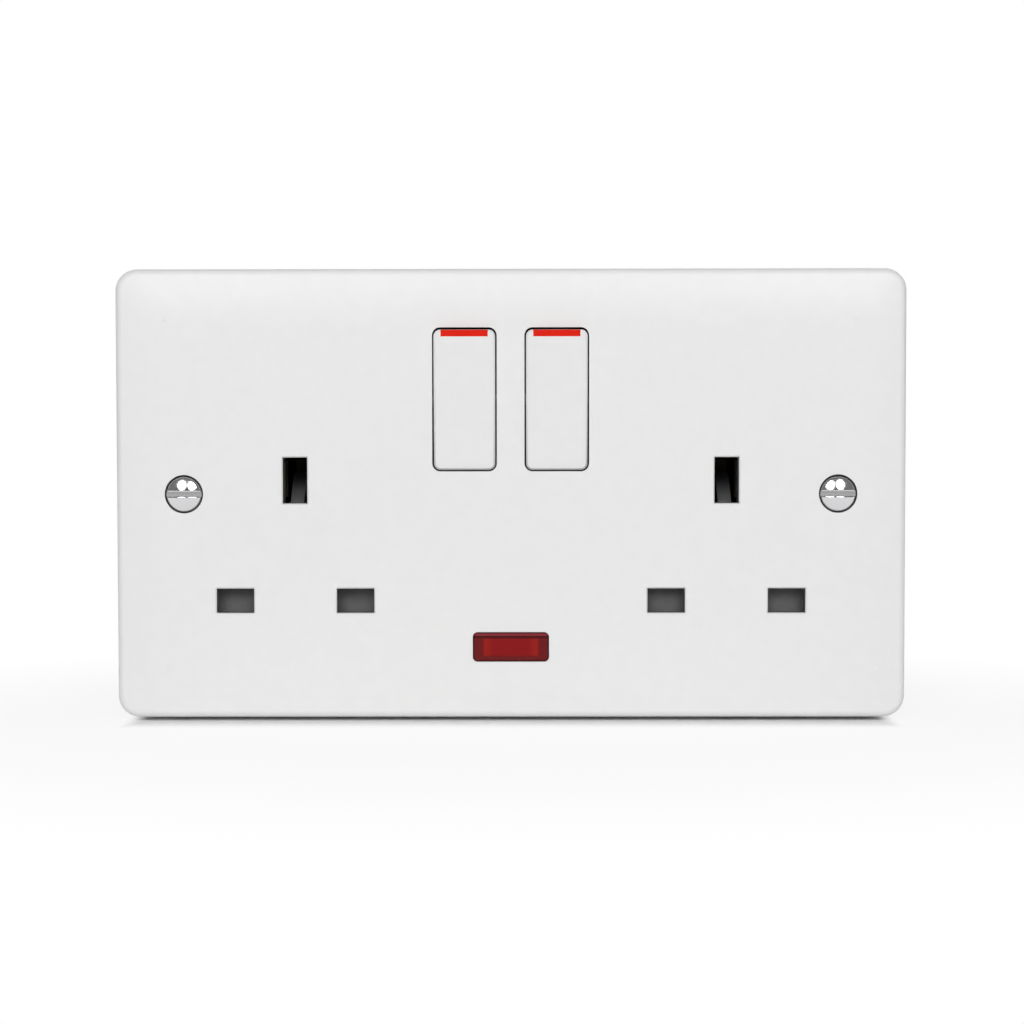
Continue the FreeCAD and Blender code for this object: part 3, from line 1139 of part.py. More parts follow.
def make_lead(label, role, level, start, end, flat_first, start_role, start_level, spot):
    """A lead of square section along a bent path."""
    body = new_body(label)
    spine = new_sketch(body, "spine", role, level)
    bent_path(spine, start, end, "size.lead_bend", flat_first)
    profile = new_sketch(body, "wire", start_role, start_level)
    centred(profile, *spot, "size.lead", "size.lead")
    DOC.recompute()
    pipe = body.newObject("PartDesign::AdditivePipe", "run")
    pipe.Profile = profile
    pipe.Spine = (spine, [])
    settle(pipe)
    return body


def make_leads():
    """The lamp's leads: to the neutral strap, to the resistor and on to the line strap."""
    y, spread = "-size.lamp_height", "size.electrode_spread / 2"
    low, high = f"place.lens_z - {spread}", f"place.lens_z + {spread}"
    one = make_lead("neutral_lead", "XY_Plane", low, ("place.lamp_end", y),
                    ("place.lamp_end + size.lead_out", "-place.neutral_front"), True,
                    "YZ_Plane", "place.lamp_end", (y, low))
    two = make_lead("link_lead", "XZ_Plane", "size.lamp_height", ("place.lamp_end", high),
                    ("size.resistor_x", "place.resistor_foot"), True,
                    "YZ_Plane", "place.lamp_end", (y, high))
    three = make_lead("line_lead", "YZ_Plane", "size.resistor_x", (y, "place.resistor_head"),
                      ("-place.strap_front", "place.resistor_head + size.lead_up"), False,
                      "XY_Plane", "place.resistor_head", ("size.resistor_x", y))
    return group("lamp_leads", [one, two, three])


def make_resistor():
    """The resistor in the lamp's line lead."""
    body = new_body("lamp_resistor", "size.resistor_x", "-size.lamp_height", "place.resistor_foot")
    sketch = new_sketch(body, "outline", "XY_Plane", "0")
    circle(sketch, "0", "0", "size.resistor")
    pad = body.newObject("PartDesign::Pad", "rod")
    pad.Profile = sketch
    pad.setExpression("Length", "size.resistor_length")
    settle(pad)
    round_off(body, "ends", "size.resistor_end", lambda e: abs(e.BoundBox.ZLength) < 1e-6,
              "PartDesign::Chamfer")
    return body


def make_shutter(side, sign):
    """The slide behind the slots: two blades, a stem, a ramp, a spring lug and two rails."""
    body = new_body(f"{side}_shutter", f"({sign}) * size.socket_pitch / 2", "0", "place.pin_row")
    end, half, stem = "place.bar_half", "place.blade_half", "size.stem_width / 2"
    head = "place.ramp_foot + size.overlap"
    raise_up(body, "slide", "place.blade_back", "place.blade_front",
             (polygon, (f"-{end}", f"-{half}"), (end, f"-{half}"), (end, half), (stem, half),
              (stem, head), (f"-{stem}", head), (f"-{stem}", half), (f"-{end}", half)))
    front, back = "-place.blade_front", "-place.ramp_back"
    across(body, "ramp", "size.ramp_width",
           (polygon, (front, "place.ramp_foot"), (back, "place.ramp_foot"),
            (back, "place.ramp_head"), (f"{back} - size.ramp_flat", "place.ramp_head"),
            (front, "place.ramp_foot + size.ramp_flat")))
    raise_up(body, "lug", "place.lug_back", "place.blade_back + size.overlap",
             (box, "-size.lug_width / 2", "size.lug_width / 2", "place.lug_foot",
              "place.lug_foot + size.lug_height"))
    rails = [(box, f"-{end}", f"-{end} + size.rail", f"-{half}", half),
             (box, f"{end} - size.rail", end, f"-{half}", half)]
    raise_up(body, "rails", "place.deck + size.slide_gap", "place.blade_back + size.overlap", *rails)
    return body


def make_shutter_spring(side, sign):
    """The spring that pushes a shutter up to close the slots."""
    body = new_body(f"{side}_shutter_spring", f"({sign}) * size.socket_pitch / 2",
                    "-place.spring_height", "place.pin_row - size.spring_drop")
    make_coil(body, "size.spring_outer", "size.spring_wire", "place.spring_length",
              "size.shutter_turns")
    return body


def build():
    """Makes every piece and returns those that are written out."""
    pieces = [make_faceplate(), make_housing(), make_lens()]
    for side, sign in SIDES:
        pieces.append(make_rocker(side, sign))
        pieces.append(make_flash(side, sign))
        pieces.append(make_plunger(side, sign))
        pieces.append(make_plunger_spring(side, sign))
        pieces.append(make_moving_contact(side, sign))
        pieces.append(make_moving_tip(side, sign))
        pieces.append(make_fixed_tip(side, sign))
        pieces.append(make_switched_strap(side))
        pieces.append(make_shutter(side, sign))
        pieces.append(make_shutter_spring(side, sign))
    for side, pin, x, z in pin_places():
        pieces.append(make_clip(side, pin, x, z))
    pieces += [make_line_strap(), make_neutral_strap(), make_earth_strap()]
    names = ("left_earth_terminal", "neutral_terminal", "line_terminal", "right_earth_terminal")
    pieces += [make_terminal(name, place) for place, name in enumerate(names)]
    pieces.append(group("terminal_screws", [make_clamp_screw(i) for i in range(4)]))
    pieces.append(group("fixing_screws", [make_fixing_screw(*side) for side in SIDES]))
    screws = [make_housing_screw(i, x, z) for i, (x, z) in enumerate(screw_places())]
    pieces.append(group("housing_screws", screws))
    pieces += [make_lamp(), make_electrodes(), make_leads(), make_resistor()]
    return pieces


def write(pieces):
    """Checks each object and shape, then writes one file for each piece."""
    DOC.recompute()
    for thing in DOC.Objects:
        if "Invalid" in thing.State or "Error" in thing.State:
            raise RuntimeError(f"{thing.Label} is in the state {thing.State}")
    os.makedirs("parts", exist_ok=True)
    for piece in pieces:
        shape = piece.Shape
        if shape.isNull() or not shape.isValid() or not shape.Solids:
            raise RuntimeError(f"{piece.Label} has no valid solid")
        shape.exportStep(f"parts/{piece.Label}.step")


write(build())
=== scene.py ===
"""Looks of a two-gang switched socket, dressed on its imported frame.

Units are metres. +X is to the right seen from the front, +Z is up and the face looks along -Y.
"""

import json
import logging
import math
from dataclasses import dataclass, field
from enum import Enum

import bpy
import numpy as np
from mathutils import Matrix, Vector

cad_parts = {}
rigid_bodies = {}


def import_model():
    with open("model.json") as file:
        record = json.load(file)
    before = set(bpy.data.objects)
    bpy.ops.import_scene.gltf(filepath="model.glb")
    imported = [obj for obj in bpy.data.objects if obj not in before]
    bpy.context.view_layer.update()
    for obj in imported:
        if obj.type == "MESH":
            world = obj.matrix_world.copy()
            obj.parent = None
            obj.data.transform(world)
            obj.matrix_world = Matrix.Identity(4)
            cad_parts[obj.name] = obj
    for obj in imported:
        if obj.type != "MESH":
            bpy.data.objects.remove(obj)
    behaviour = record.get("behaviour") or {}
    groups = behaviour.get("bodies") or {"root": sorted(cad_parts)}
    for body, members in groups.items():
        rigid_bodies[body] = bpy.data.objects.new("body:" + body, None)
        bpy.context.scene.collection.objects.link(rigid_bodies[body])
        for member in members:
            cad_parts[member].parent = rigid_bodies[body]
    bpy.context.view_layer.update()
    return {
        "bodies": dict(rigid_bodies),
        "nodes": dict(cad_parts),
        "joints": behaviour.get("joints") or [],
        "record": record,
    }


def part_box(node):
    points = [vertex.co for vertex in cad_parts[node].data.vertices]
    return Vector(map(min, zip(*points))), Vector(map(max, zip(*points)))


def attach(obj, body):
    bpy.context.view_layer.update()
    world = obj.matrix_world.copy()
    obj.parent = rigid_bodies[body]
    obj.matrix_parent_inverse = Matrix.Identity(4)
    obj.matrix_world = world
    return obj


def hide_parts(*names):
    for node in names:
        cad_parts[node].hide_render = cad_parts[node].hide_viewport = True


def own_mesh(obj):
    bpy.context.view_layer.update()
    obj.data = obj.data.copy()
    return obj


LOG = logging.getLogger("socket")
MM = 0.001
WELD = 0.0001 * MM
TURN = 2.0 * math.pi
EVERYWHERE = 1.0  # A reach that takes in the whole part.
WHITE = (1.0, 1.0, 1.0, 1.0)

Pair = tuple[float, float]
Triple = tuple[float, float, float]
Array = np.ndarray
Socket = bpy.types.NodeSocket
Value = Socket | float | tuple[float, ...]


class Side(Enum):
    """The two halves of the socket, with the sign of their x."""

    LEFT = -1
    RIGHT = 1

    @property
    def word(self) -> str:
        """The side's name as the nodes spell it."""
        return self.name.lower()


class Facing(Enum):
    """Which way a screw's head looks: the directions of its own u, v and w axes."""

    FRONT = ((1, 0, 0), (0, 0, 1), (0, -1, 0))
    REAR = ((-1, 0, 0), (0, 0, 1), (0, 1, 0))


def both(name: str) -> tuple[str, ...]:
    """The left and the right node of a kind."""
    return tuple(f"{side.word}_{name}" for side in Side)


def colour(tint: Triple, share: float = 1.0) -> tuple[float, float, float, float]:
    """An opaque linear colour, of which a share of the tint stays."""
    red, green, blue = tint
    return (red * share, green * share, blue * share, 1.0)


class Graph:
    """A node tree with short calls for adding nodes and joining them."""

    def __init__(self, tree: bpy.types.NodeTree) -> None:
        """Starts on a node group, or on the tree of a material or world."""
        self.tree = tree

    def add(self, kind: str, inputs: dict | None = None, **settings: object) -> bpy.types.Node:
        """Adds one node.

        Args:
            kind: Type name without the leading "ShaderNode".
            inputs: Values or output sockets for the node's inputs, by name or index.
            **settings: Attributes of the node, set before its inputs.

        Returns:
            The node.
        """
        node = self.tree.nodes.new(f"ShaderNode{kind}")
        for name, value in settings.items():
            setattr(node, name, value)
        self.fill(node, inputs or {})
        return node

    def fill(self, node: bpy.types.Node, inputs: dict) -> None:
        """Links or sets several inputs of a node, by name or index."""
        for name, value in inputs.items():
            self.feed(node.inputs[name], value)

    def feed(self, target: Socket, value: Value) -> None:
        """Links a socket to an output or sets its constant.

        Args:
            target: The input socket.
            value: An output socket, a number or a tuple.
        """
        if isinstance(value, Socket):
            self.tree.links.new(value, target)
        else:
            target.default_value = value

    def math(self, operation: str, *values: Value) -> Socket:
        """Adds a Math node and gives its result's socket."""
        return self.add("Math", dict(enumerate(values)), operation=operation).outputs[0]

    def blend(self, factor: Value, one: Value, two: Value) -> Socket:
        """Mixes two colours by the share of the second."""
        return self.add("Mix", {"Factor": factor, 6: one, 7: two}, data_type="RGBA").outputs[2]

    def ramp(self, value: Socket, low: Value, high: Value, start: float, end: float) -> Socket:
        """Maps low to high onto start to end, smoothly and clamped."""
        inputs = dict(enumerate((value, low, high, start, end)))
        return self.add("MapRange", inputs, interpolation_type="SMOOTHSTEP").outputs[0]


class Effects:
    """Node groups that several finishes share. Each gives masks, values or normals only."""

    tones: Pair = (0.35, 0.65)
    streak_tones: Pair = (0.3, 0.7)
    tarnish_tones: Pair = (0.42, 0.7)
    flow_share: float = 0.35
    side_fade: float = 1.0 * MM
    end_fade: float = 0.1 * MM
    rear_way: Pair = (0.5, 0.9)

    def __init__(self) -> None:
        """Makes the groups once."""
        self.grain = self.moulded_grain()
        self.streaks = self.drawn_streaks()
        self.gap = self.gap_shade()
        self.made: dict["Finish", bpy.types.Material] = {}

    def material(self, finish: "Finish") -> bpy.types.Material:
        """The material of a finish, made when it is first asked for.

        Args:
            finish: The finish.

        Returns:
            The material.
        """
        if finish not in self.made:
            self.made[finish] = finish.material(self)
        return self.made[finish]

    @staticmethod
    def start(name: str, inputs: tuple,
              outputs: tuple) -> tuple[Graph, bpy.types.NodeOutputs, bpy.types.Node]:
        """An empty group with its sockets.

        Args:
            name: Group name.
            inputs: (socket name, type) pairs.
            outputs: (socket name, type) pairs.

        Returns:
            The graph, the sockets that it is given and the node that takes its results.
        """
        tree = bpy.data.node_groups.new(name, "ShaderNodeTree")
        for way, entries in (("INPUT", inputs), ("OUTPUT", outputs)):
            for label, kind in entries:
                tree.interface.new_socket(label, in_out=way, socket_type=f"NodeSocket{kind}")
        given = tree.nodes.new("NodeGroupInput").outputs
        return Graph(tree), given, tree.nodes.new("NodeGroupOutput")

    def moulded_grain(self) -> bpy.types.NodeTree:
        """Fine spark-eroded grain, slow flow marks and a mottle, for moulded plastic.

        Returns:
            The group.
        """
        graph, given, wanted = self.start(
            "moulded_grain",
            (("Vector", "Vector"), ("Scale", "Float"), ("Depth", "Float")),
            (("Normal", "Vector"), ("Mottle", "Float"), ("Flow", "Float")),
        )
        fine = graph.add("TexNoise", {"Vector": given["Vector"], "Scale": given["Scale"],
                                      "Detail": 3.0, "Roughness": 0.55})
        broad = graph.add("TexNoise", {"Vector": given["Vector"], "Scale": 55.0,
                                       "Detail": 2.0, "Distortion": 0.4})
        mottle = graph.add("TexNoise", {"Vector": given["Vector"], "Scale": 420.0, "Detail": 4.0})
        height = graph.math("MULTIPLY_ADD", broad.outputs[0], self.flow_share, fine.outputs[0])
        bump = graph.add("Bump", {"Strength": 1.0, "Distance": given["Depth"], "Height": height})
        graph.fill(wanted, {"Normal": bump.outputs[0],
                            "Mottle": graph.ramp(mottle.outputs[0], *self.tones, 0.0, 1.0),
                            "Flow": graph.ramp(broad.outputs[0], *self.tones, 0.0, 1.0)})
        return graph.tree

    def drawn_streaks(self) -> bpy.types.NodeTree:
        """Long fine scratches along one axis and a slow tarnish, for rolled or drawn metal.

        Returns:
            The group.
        """
        graph, given, wanted = self.start(
            "drawn_streaks",
            (("Vector", "Vector"), ("Depth", "Float")),
            (("Normal", "Vector"), ("Streak", "Float"), ("Tarnish", "Float")),
        )
        lines = graph.add("TexNoise", {"Vector": given["Vector"], "Scale": 2600.0,
                                       "Detail": 3.0, "Roughness": 0.6})
        slow = graph.add("TexNoise", {"Vector": given["Vector"], "Scale": 130.0, "Detail": 4.0,
                                      "Distortion": 0.6})
        bump = graph.add("Bump", {"Strength": 1.0, "Distance": given["Depth"],
                                  "Height": lines.outputs[0]})
        streak = graph.ramp(lines.outputs[0], *self.streak_tones, 0.0, 1.0)
        tarnish = graph.ramp(slow.outputs[0], *self.tarnish_tones, 0.0, 1.0)
        graph.fill(wanted, {"Normal": bump.outputs[0], "Streak": streak, "Tarnish": tarnish})
        return graph.tree

    def gap_shade(self) -> bpy.types.NodeTree:
        """Painted shade that darkens with depth behind the face, inside a box, but not on rear
        faces.

        Returns:
            The group.
        """
        graph, given, wanted = self.start(
            "gap_shade",
            (("Vector", "Vector"), ("Centre", "Vector"), ("Half X", "Float"), ("Half Z", "Float"),
             ("Front", "Float"), ("Back", "Float"), ("Limit", "Float"), ("Way", "Vector")),
            (("Mask", "Float"),),
        )
        moved = graph.add("VectorMath", {0: given["Vector"], 1: given["Centre"]},
                          operation="SUBTRACT")
        parts = graph.add("SeparateXYZ", {0: moved.outputs[0]}).outputs
        fades = []
        for part, name in ((parts[0], "Half X"), (parts[2], "Half Z")):
            over = graph.math("SUBTRACT", graph.math("ABSOLUTE", part), given[name])
            fades.append(graph.ramp(over, 0.0, self.side_fade, 1.0, 0.0))
        past = graph.math("SUBTRACT", parts[1], given["Limit"])
        fades.append(graph.ramp(past, -self.end_fade, self.end_fade, 1.0, 0.0))
        rear = graph.add("SeparateXYZ", {0: given["Way"]}).outputs[1]
        fades.append(graph.ramp(rear, *self.rear_way, 1.0, 0.0))
        # Painted shade: the mask grows from the front depth to the back depth.
        mask = graph.ramp(parts[1], given["Front"], given["Back"], 0.0, 1.0)
        for fade in fades:
            mask = graph.math("MULTIPLY", mask, fade)
        graph.fill(wanted, {"Mask": mask})
        return graph.tree


class Paint(Graph):
    """A material's graph, with its object coordinates and the shared groups."""

    def __init__(self, tree: bpy.types.NodeTree, effects: Effects) -> None:
        """Starts on a material's tree.

        Args:
            tree: The tree.
            effects: The shared groups.
        """
        super().__init__(tree)
        self.effects = effects
        self.place = self.add("TexCoord").outputs["Object"]

    def grain(self, scale: float, depth: float) -> bpy.types.NodeOutputs:
        """Adds the moulded grain and gives its outputs."""
        inputs = {"Vector": self.place, "Scale": scale, "Depth": depth}
        return self.add("Group", inputs, node_tree=self.effects.grain).outputs


@dataclass(frozen=True)
class Finish:
    """A surface finish that can be made into a material."""

    name: str

    def material(self, effects: Effects) -> bpy.types.Material:
        """Makes the material.

        Args:
            effects: The shared groups.

        Returns:
            The material.
        """
        material = bpy.data.materials.new(self.name)
        material.use_nodes = True
        paint = Paint(material.node_tree, effects)
        paint.fill(material.node_tree.nodes["Principled BSDF"], self.inputs(paint))
        return material

    def inputs(self, paint: Paint) -> dict:
        """What the shader takes, which each kind of finish says."""
        raise NotImplementedError(self.name)


@dataclass(frozen=True)
class GapShade:
    """Where painted shade darkens a plastic: a box's middle and half sizes, a range of depths and
    their end.
    """

    centre: Triple
    half: Pair
    front: float
    back: float
    limit: float = EVERYWHERE
    amount: float = 0.85


@dataclass(frozen=True)
class Plastic(Finish):
    """A moulded plastic with grain, flow marks and a slight mottle."""

    tint: Triple
    roughness: float
    scale: float = 5200.0
    depth: float = 0.004 * MM
    mottle: float = 0.04
    gloss_spread: float = 0.05
    specular: float = 0.5
    # Boxes where painted shade darkens the plastic in its gaps and recesses.
    gaps: tuple[GapShade, ...] = ()
    meeting: tuple[tuple[Triple, Triple], ...] = ()
    level: Pair = (1.0 * MM, 2.0 * MM)

    def inputs(self, paint: Paint) -> dict:
        """What the shader takes.

        Args:
            paint: The material's graph.

        Returns:
            Sockets and constants by the name of the shader's input.
        """
        grain = paint.grain(self.scale, self.depth)
        shade = paint.blend(grain["Mottle"], colour(self.tint),
                            colour(self.tint, 1.0 - self.mottle))
        # Painted shade: each entry darkens the colour with depth behind the face.
        for gap in self.gaps:
            way = paint.add("NewGeometry").outputs["True Normal"]
            values = (paint.place, gap.centre, *gap.half, gap.front, gap.back, gap.limit, way)
            group = paint.add("Group", dict(enumerate(values)), node_tree=paint.effects.gap)
            shade = paint.blend(group.outputs["Mask"], shade, colour(self.tint, 1.0 - gap.amount))
        rough = paint.math("MULTIPLY_ADD", grain["Flow"], self.gloss_spread, self.roughness)
        return {"Base Color": shade, "Roughness": rough, "IOR": 1.48,
                "Specular IOR Level": self.specular,
                "Normal": self.levelled(paint, grain["Normal"])}

    def levelled(self, paint: Paint, normal: Socket) -> Socket:
        """Sets the normal straight round the points where a face's blends meet.

        Args:
            paint: The material's graph.
            normal: The normal with its grain.

        Returns:
            The normal to use.
        """
        for point, way in self.meeting:
            apart = paint.add("VectorMath", {0: paint.place, 1: point}, operation="DISTANCE")
            share = paint.ramp(apart.outputs["Value"], *self.level, 1.0, 0.0)
            mixed = paint.add("Mix", {"Factor": share, 4: normal, 5: way}, data_type="VECTOR")
            normal = mixed.outputs[1]
        return normal


@dataclass(frozen=True)
class Metal(Finish):
    """A metal with drawn streaks and a slow tarnish."""

    tint: Triple
    tarnish: Triple
    roughness: float
    along: Triple = (0.02, 1.0, 1.0)
    depth: float = 0.003 * MM
    tarnish_share: float = 0.5
    gloss_spread: float = 0.12

    def inputs(self, paint: Paint) -> dict:
        """What the shader takes.

        Args:
            paint: The material's graph.

        Returns:
            Sockets and constants by the name of the shader's input.
        """
        stretched = paint.add("Mapping", {"Vector": paint.place, "Scale": self.along})
        streaks = paint.add("Group", {"Vector": stretched.outputs[0], "Depth": self.depth},
                            node_tree=paint.effects.streaks).outputs
        aged = paint.math("MULTIPLY", streaks["Tarnish"], self.tarnish_share)
        rough = paint.math("MULTIPLY_ADD", streaks["Streak"], self.gloss_spread, self.roughness)
        return {"Base Color": paint.blend(aged, colour(self.tint), colour(self.tarnish)),
                "Roughness": rough, "Normal": streaks["Normal"], "Metallic": 1.0}


@dataclass(frozen=True)
class LensRed(Finish):
    """A clear red moulding in painted light: a ribbed window lit by painted light in a darker frame
    of painted shade, with a painted highlight on the upper bevel.
    """

    centre: Triple
    half: Pair
    window: Pair
    bevel: float
    rim: float = 0.2 * MM
    fade: float = 0.14 * MM
    prism: float = 0.9 * MM
    rib_share: float = 0.15
    hot_ends: Pair = (0.6, 0.9)
    line_share: float = 0.7
    # Colours of painted light and shade: the window's light and its brighter ends, the darker
    # frame, the bevel's highlight, and the dark line and rim.
    bright: Triple = (0.265, 0.006, 0.006)
    hot: Triple = (0.33, 0.012, 0.007)
    frame: Triple = (0.15, 0.009, 0.01)
    pale: Triple = (0.24, 0.036, 0.045)
    dark: Triple = (0.045, 0.003, 0.003)
    roughness: float = 0.1
    gloss_spread: float = 0.05
    scale: float = 900.0
    depth: float = 0.002 * MM

    def inputs(self, paint: Paint) -> dict:
        """What the shader takes.

        Args:
            paint: The material's graph.

        Returns:
            Sockets and constants by the name of the shader's input.
        """
        moved = paint.add("VectorMath", {0: paint.place, 1: self.centre}, operation="SUBTRACT")
        parts = paint.add("SeparateXYZ", {0: moved.outputs[0]}).outputs
        reach = {axis: paint.math("ABSOLUTE", parts[axis]) for axis in (0, 2)}
        inside, edges, waves = [], [], []
        for axis, half, outer in zip(reach, self.window, self.half):
            inside.append(paint.ramp(reach[axis], half - self.fade, half + self.fade, 1.0, 0.0))
            edges.append(paint.ramp(reach[axis], outer - 1.5 * self.rim, outer - 0.5 * self.rim,
                                    0.0, 1.0))
            waves.append(paint.math("SINE", paint.math("MULTIPLY", parts[axis],
                                                       TURN / self.prism)))
        ribs = paint.math("MULTIPLY", *waves)
        lit = paint.math("MULTIPLY_ADD", ribs, self.rib_share, 1.0 - self.rib_share)
        lit = paint.math("MULTIPLY", lit, paint.math("MULTIPLY", *inside))
        # Painted light: the window grows brighter towards its ends.
        ends = paint.ramp(reach[0], *(share * self.window[0] for share in self.hot_ends), 0.0, 1.0)
        shade = paint.blend(ends, colour(self.bright), colour(self.hot))
        shade = paint.blend(lit, colour(self.frame), shade)
        # Painted highlight on the upper bevel, over a line of painted shade just under it.
        foot, sill = self.half[1] - self.bevel, self.window[1]
        upper = paint.ramp(parts[2], foot, foot + self.fade, 0.0, 1.0)
        above = paint.ramp(parts[2], sill - self.fade, sill + self.fade, 0.0, 1.0)
        line = paint.math("MULTIPLY", paint.math("SUBTRACT", above, upper), self.line_share)
        shade = paint.blend(line, shade, colour(self.dark))
        shade = paint.blend(upper, shade, colour(self.pale))
        # Painted shade along the rim of the lens.
        shade = paint.blend(paint.math("MAXIMUM", *edges), shade, colour(self.dark))
        grain = paint.grain(self.scale, self.depth)
        rough = paint.math("MULTIPLY_ADD", grain["Flow"], self.gloss_spread, self.roughness)
        bump = paint.add("Bump", {"Strength": 0.6, "Distance": 0.01 * MM, "Height": ribs,
                                  "Normal": grain["Normal"]})
        return {"Base Color": shade, "Roughness": rough, "Normal": bump.outputs[0], "IOR": 1.49,
                "Specular IOR Level": 0.12}


@dataclass(frozen=True)
class ClearGlass(Finish):
    """Thin blown glass with slow waves."""

    tint: Triple = (0.98, 0.97, 0.95)
    haze: float = 0.02
    haze_spread: float = 0.05
    scale: float = 260.0
    depth: float = 0.02 * MM

    def inputs(self, paint: Paint) -> dict:
        """What the shader takes.

        Args:
            paint: The material's graph.

        Returns:
            Sockets and constants by the name of the shader's input.
        """
        grain = paint.grain(self.scale, self.depth)
        rough = paint.math("MULTIPLY_ADD", grain["Mottle"], self.haze_spread, self.haze)
        return {"Base Color": colour(self.tint), "Roughness": rough, "Normal": grain["Normal"],
                "Transmission Weight": 1.0, "IOR": 1.5}


@dataclass(frozen=True)
class BandedCoat(Finish):
    """A dipped resistor coat with colour bands along Z."""

    tint: Triple
    bands: tuple[Triple, ...]
    foot: float
    length: float
    first: float = 0.2
    pitch: float = 0.16
    width: float = 0.08
    roughness: float = 0.3
    gloss_spread: float = 0.1
    scale: float = 1500.0
    depth: float = 0.01 * MM

    def inputs(self, paint: Paint) -> dict:
        """What the shader takes.

        Args:
            paint: The material's graph.

        Returns:
            Sockets and constants by the name of the shader's input.
        """
        height = paint.add("SeparateXYZ", {0: paint.place}).outputs[2]
        share = paint.math("DIVIDE", paint.math("SUBTRACT", height, self.foot), self.length)
        ramp = paint.add("ValToRGB", {0: share})
        ramp.color_ramp.interpolation = "CONSTANT"
        stops = [(0.0, self.tint)]
        for index, band in enumerate(self.bands):
            where = self.first + self.pitch * index
            stops += [(where, band), (where + self.width, self.tint)]
        while len(ramp.color_ramp.elements) < len(stops):
            ramp.color_ramp.elements.new(1.0)
        for stop, (where, tint) in zip(ramp.color_ramp.elements, stops):
            stop.position = where
            stop.color = colour(tint)
        grain = paint.grain(self.scale, self.depth)
        rough = paint.math("MULTIPLY_ADD", grain["Flow"], self.gloss_spread, self.roughness)
        return {"Base Color": ramp.outputs[0], "Roughness": rough, "Normal": grain["Normal"]}


def grid_faces(rows: int, columns: int, wrap: bool) -> Array:
    """Quads of a grid of points that lie row after row.

    Args:
        rows: Number of rows.
        columns: Number of points in a row.
        wrap: Whether a row closes on itself.

    Returns:
        An array of four indices a face.
    """
    across = columns if wrap else columns - 1
    row, column = np.meshgrid(np.arange(rows - 1), np.arange(across), indexing="ij")
    after = (column + 1) % columns
    corners = (row * columns + column, row * columns + after,
               (row + 1) * columns + after, (row + 1) * columns + column)
    return np.stack(corners, axis=-1).reshape(-1, 4)


@dataclass
class Surface:
    """Points and faces that grow shell by shell into one mesh."""

    points: list[Array] = field(default_factory=list)
    faces: list[list[int]] = field(default_factory=list)
    count: int = 0

    def shell(self, points: Array, *faces: Array) -> None:
        """Adds one shell.

        Args:
            points: Its points, an array of rows of three.
            *faces: Arrays of vertex indices within the shell, one row a face.
        """
        self.points.append(points.reshape(-1, 3))
        for block in faces:
            self.faces += (block + self.count).tolist()
        self.count += self.points[-1].shape[0]

    def tube(self, path: Array, along: Array, first: Array, radii: float | Array,
             around: int) -> None:
        """Adds a closed tube round a path, with a pole in the middle of each end.

        A ring is point + radius * (cos a * first + sin a * second), with second = along x first.

        Args:
            path: Points of the path.
            along: Unit vector along the path, one for all or one a point.
            first: Unit vector across the path, one for all or one a point.
            radii: One radius, one a point of the path, or one row of radii a point.
            around: Points in a ring.
        """
        first = np.broadcast_to(first, path.shape)
        second = np.cross(along, first)
        angle = np.linspace(0.0, TURN, around, endpoint=False)[None, :, None]
        swing = np.cos(angle) * first[:, None, :] + np.sin(angle) * second[:, None, :]
        shape = (len(path), -1, 1) if np.ndim(radii) == 2 else (-1, 1, 1)
        rings = path[:, None, :] + np.reshape(radii, shape) * swing
        poles = np.stack([rings[0].mean(axis=0), rings[-1].mean(axis=0)])
        pole, top = len(path) * around, (len(path) - 1) * around
        here = np.arange(around)
        after = (here + 1) % around
        start = np.stack([np.full(around, pole), after, here], axis=-1)
        end = np.stack([np.full(around, pole + 1), top + here, top + after], axis=-1)
        self.shell(np.concatenate([rings.reshape(-1, 3), poles]),
                   grid_faces(len(path), around, wrap=True), start, end)

    def mesh(self, name: str, sharp: float = 35.0) -> bpy.types.Object:
        """Makes an object at the origin, smooth but for its sharp edges.

        Points that fall together are welded, and faces that vanish with them are left out.

        Args:
            name: Object name.
            sharp: Angle in degrees above which an edge stays sharp.

        Returns:
            The object, linked to the scene.
        """
        points = np.concatenate(self.points)
        _, first, index = np.unique(np.round(points / WELD), axis=0, return_index=True,
                                    return_inverse=True)
        index = index.ravel()
        faces = [list(dict.fromkeys(index[face].tolist())) for face in self.faces]
        mesh = bpy.data.meshes.new(name)
        mesh.from_pydata(points[first].tolist(), [], [face for face in faces if len(face) > 2])
        mesh.polygons.foreach_set("use_smooth", np.ones(len(mesh.polygons), dtype=bool))
        mesh.set_sharp_from_angle(angle=math.radians(sharp))
        mesh.update()
        piece = bpy.data.objects.new(name, mesh)
        bpy.context.scene.collection.objects.link(piece)
        return piece


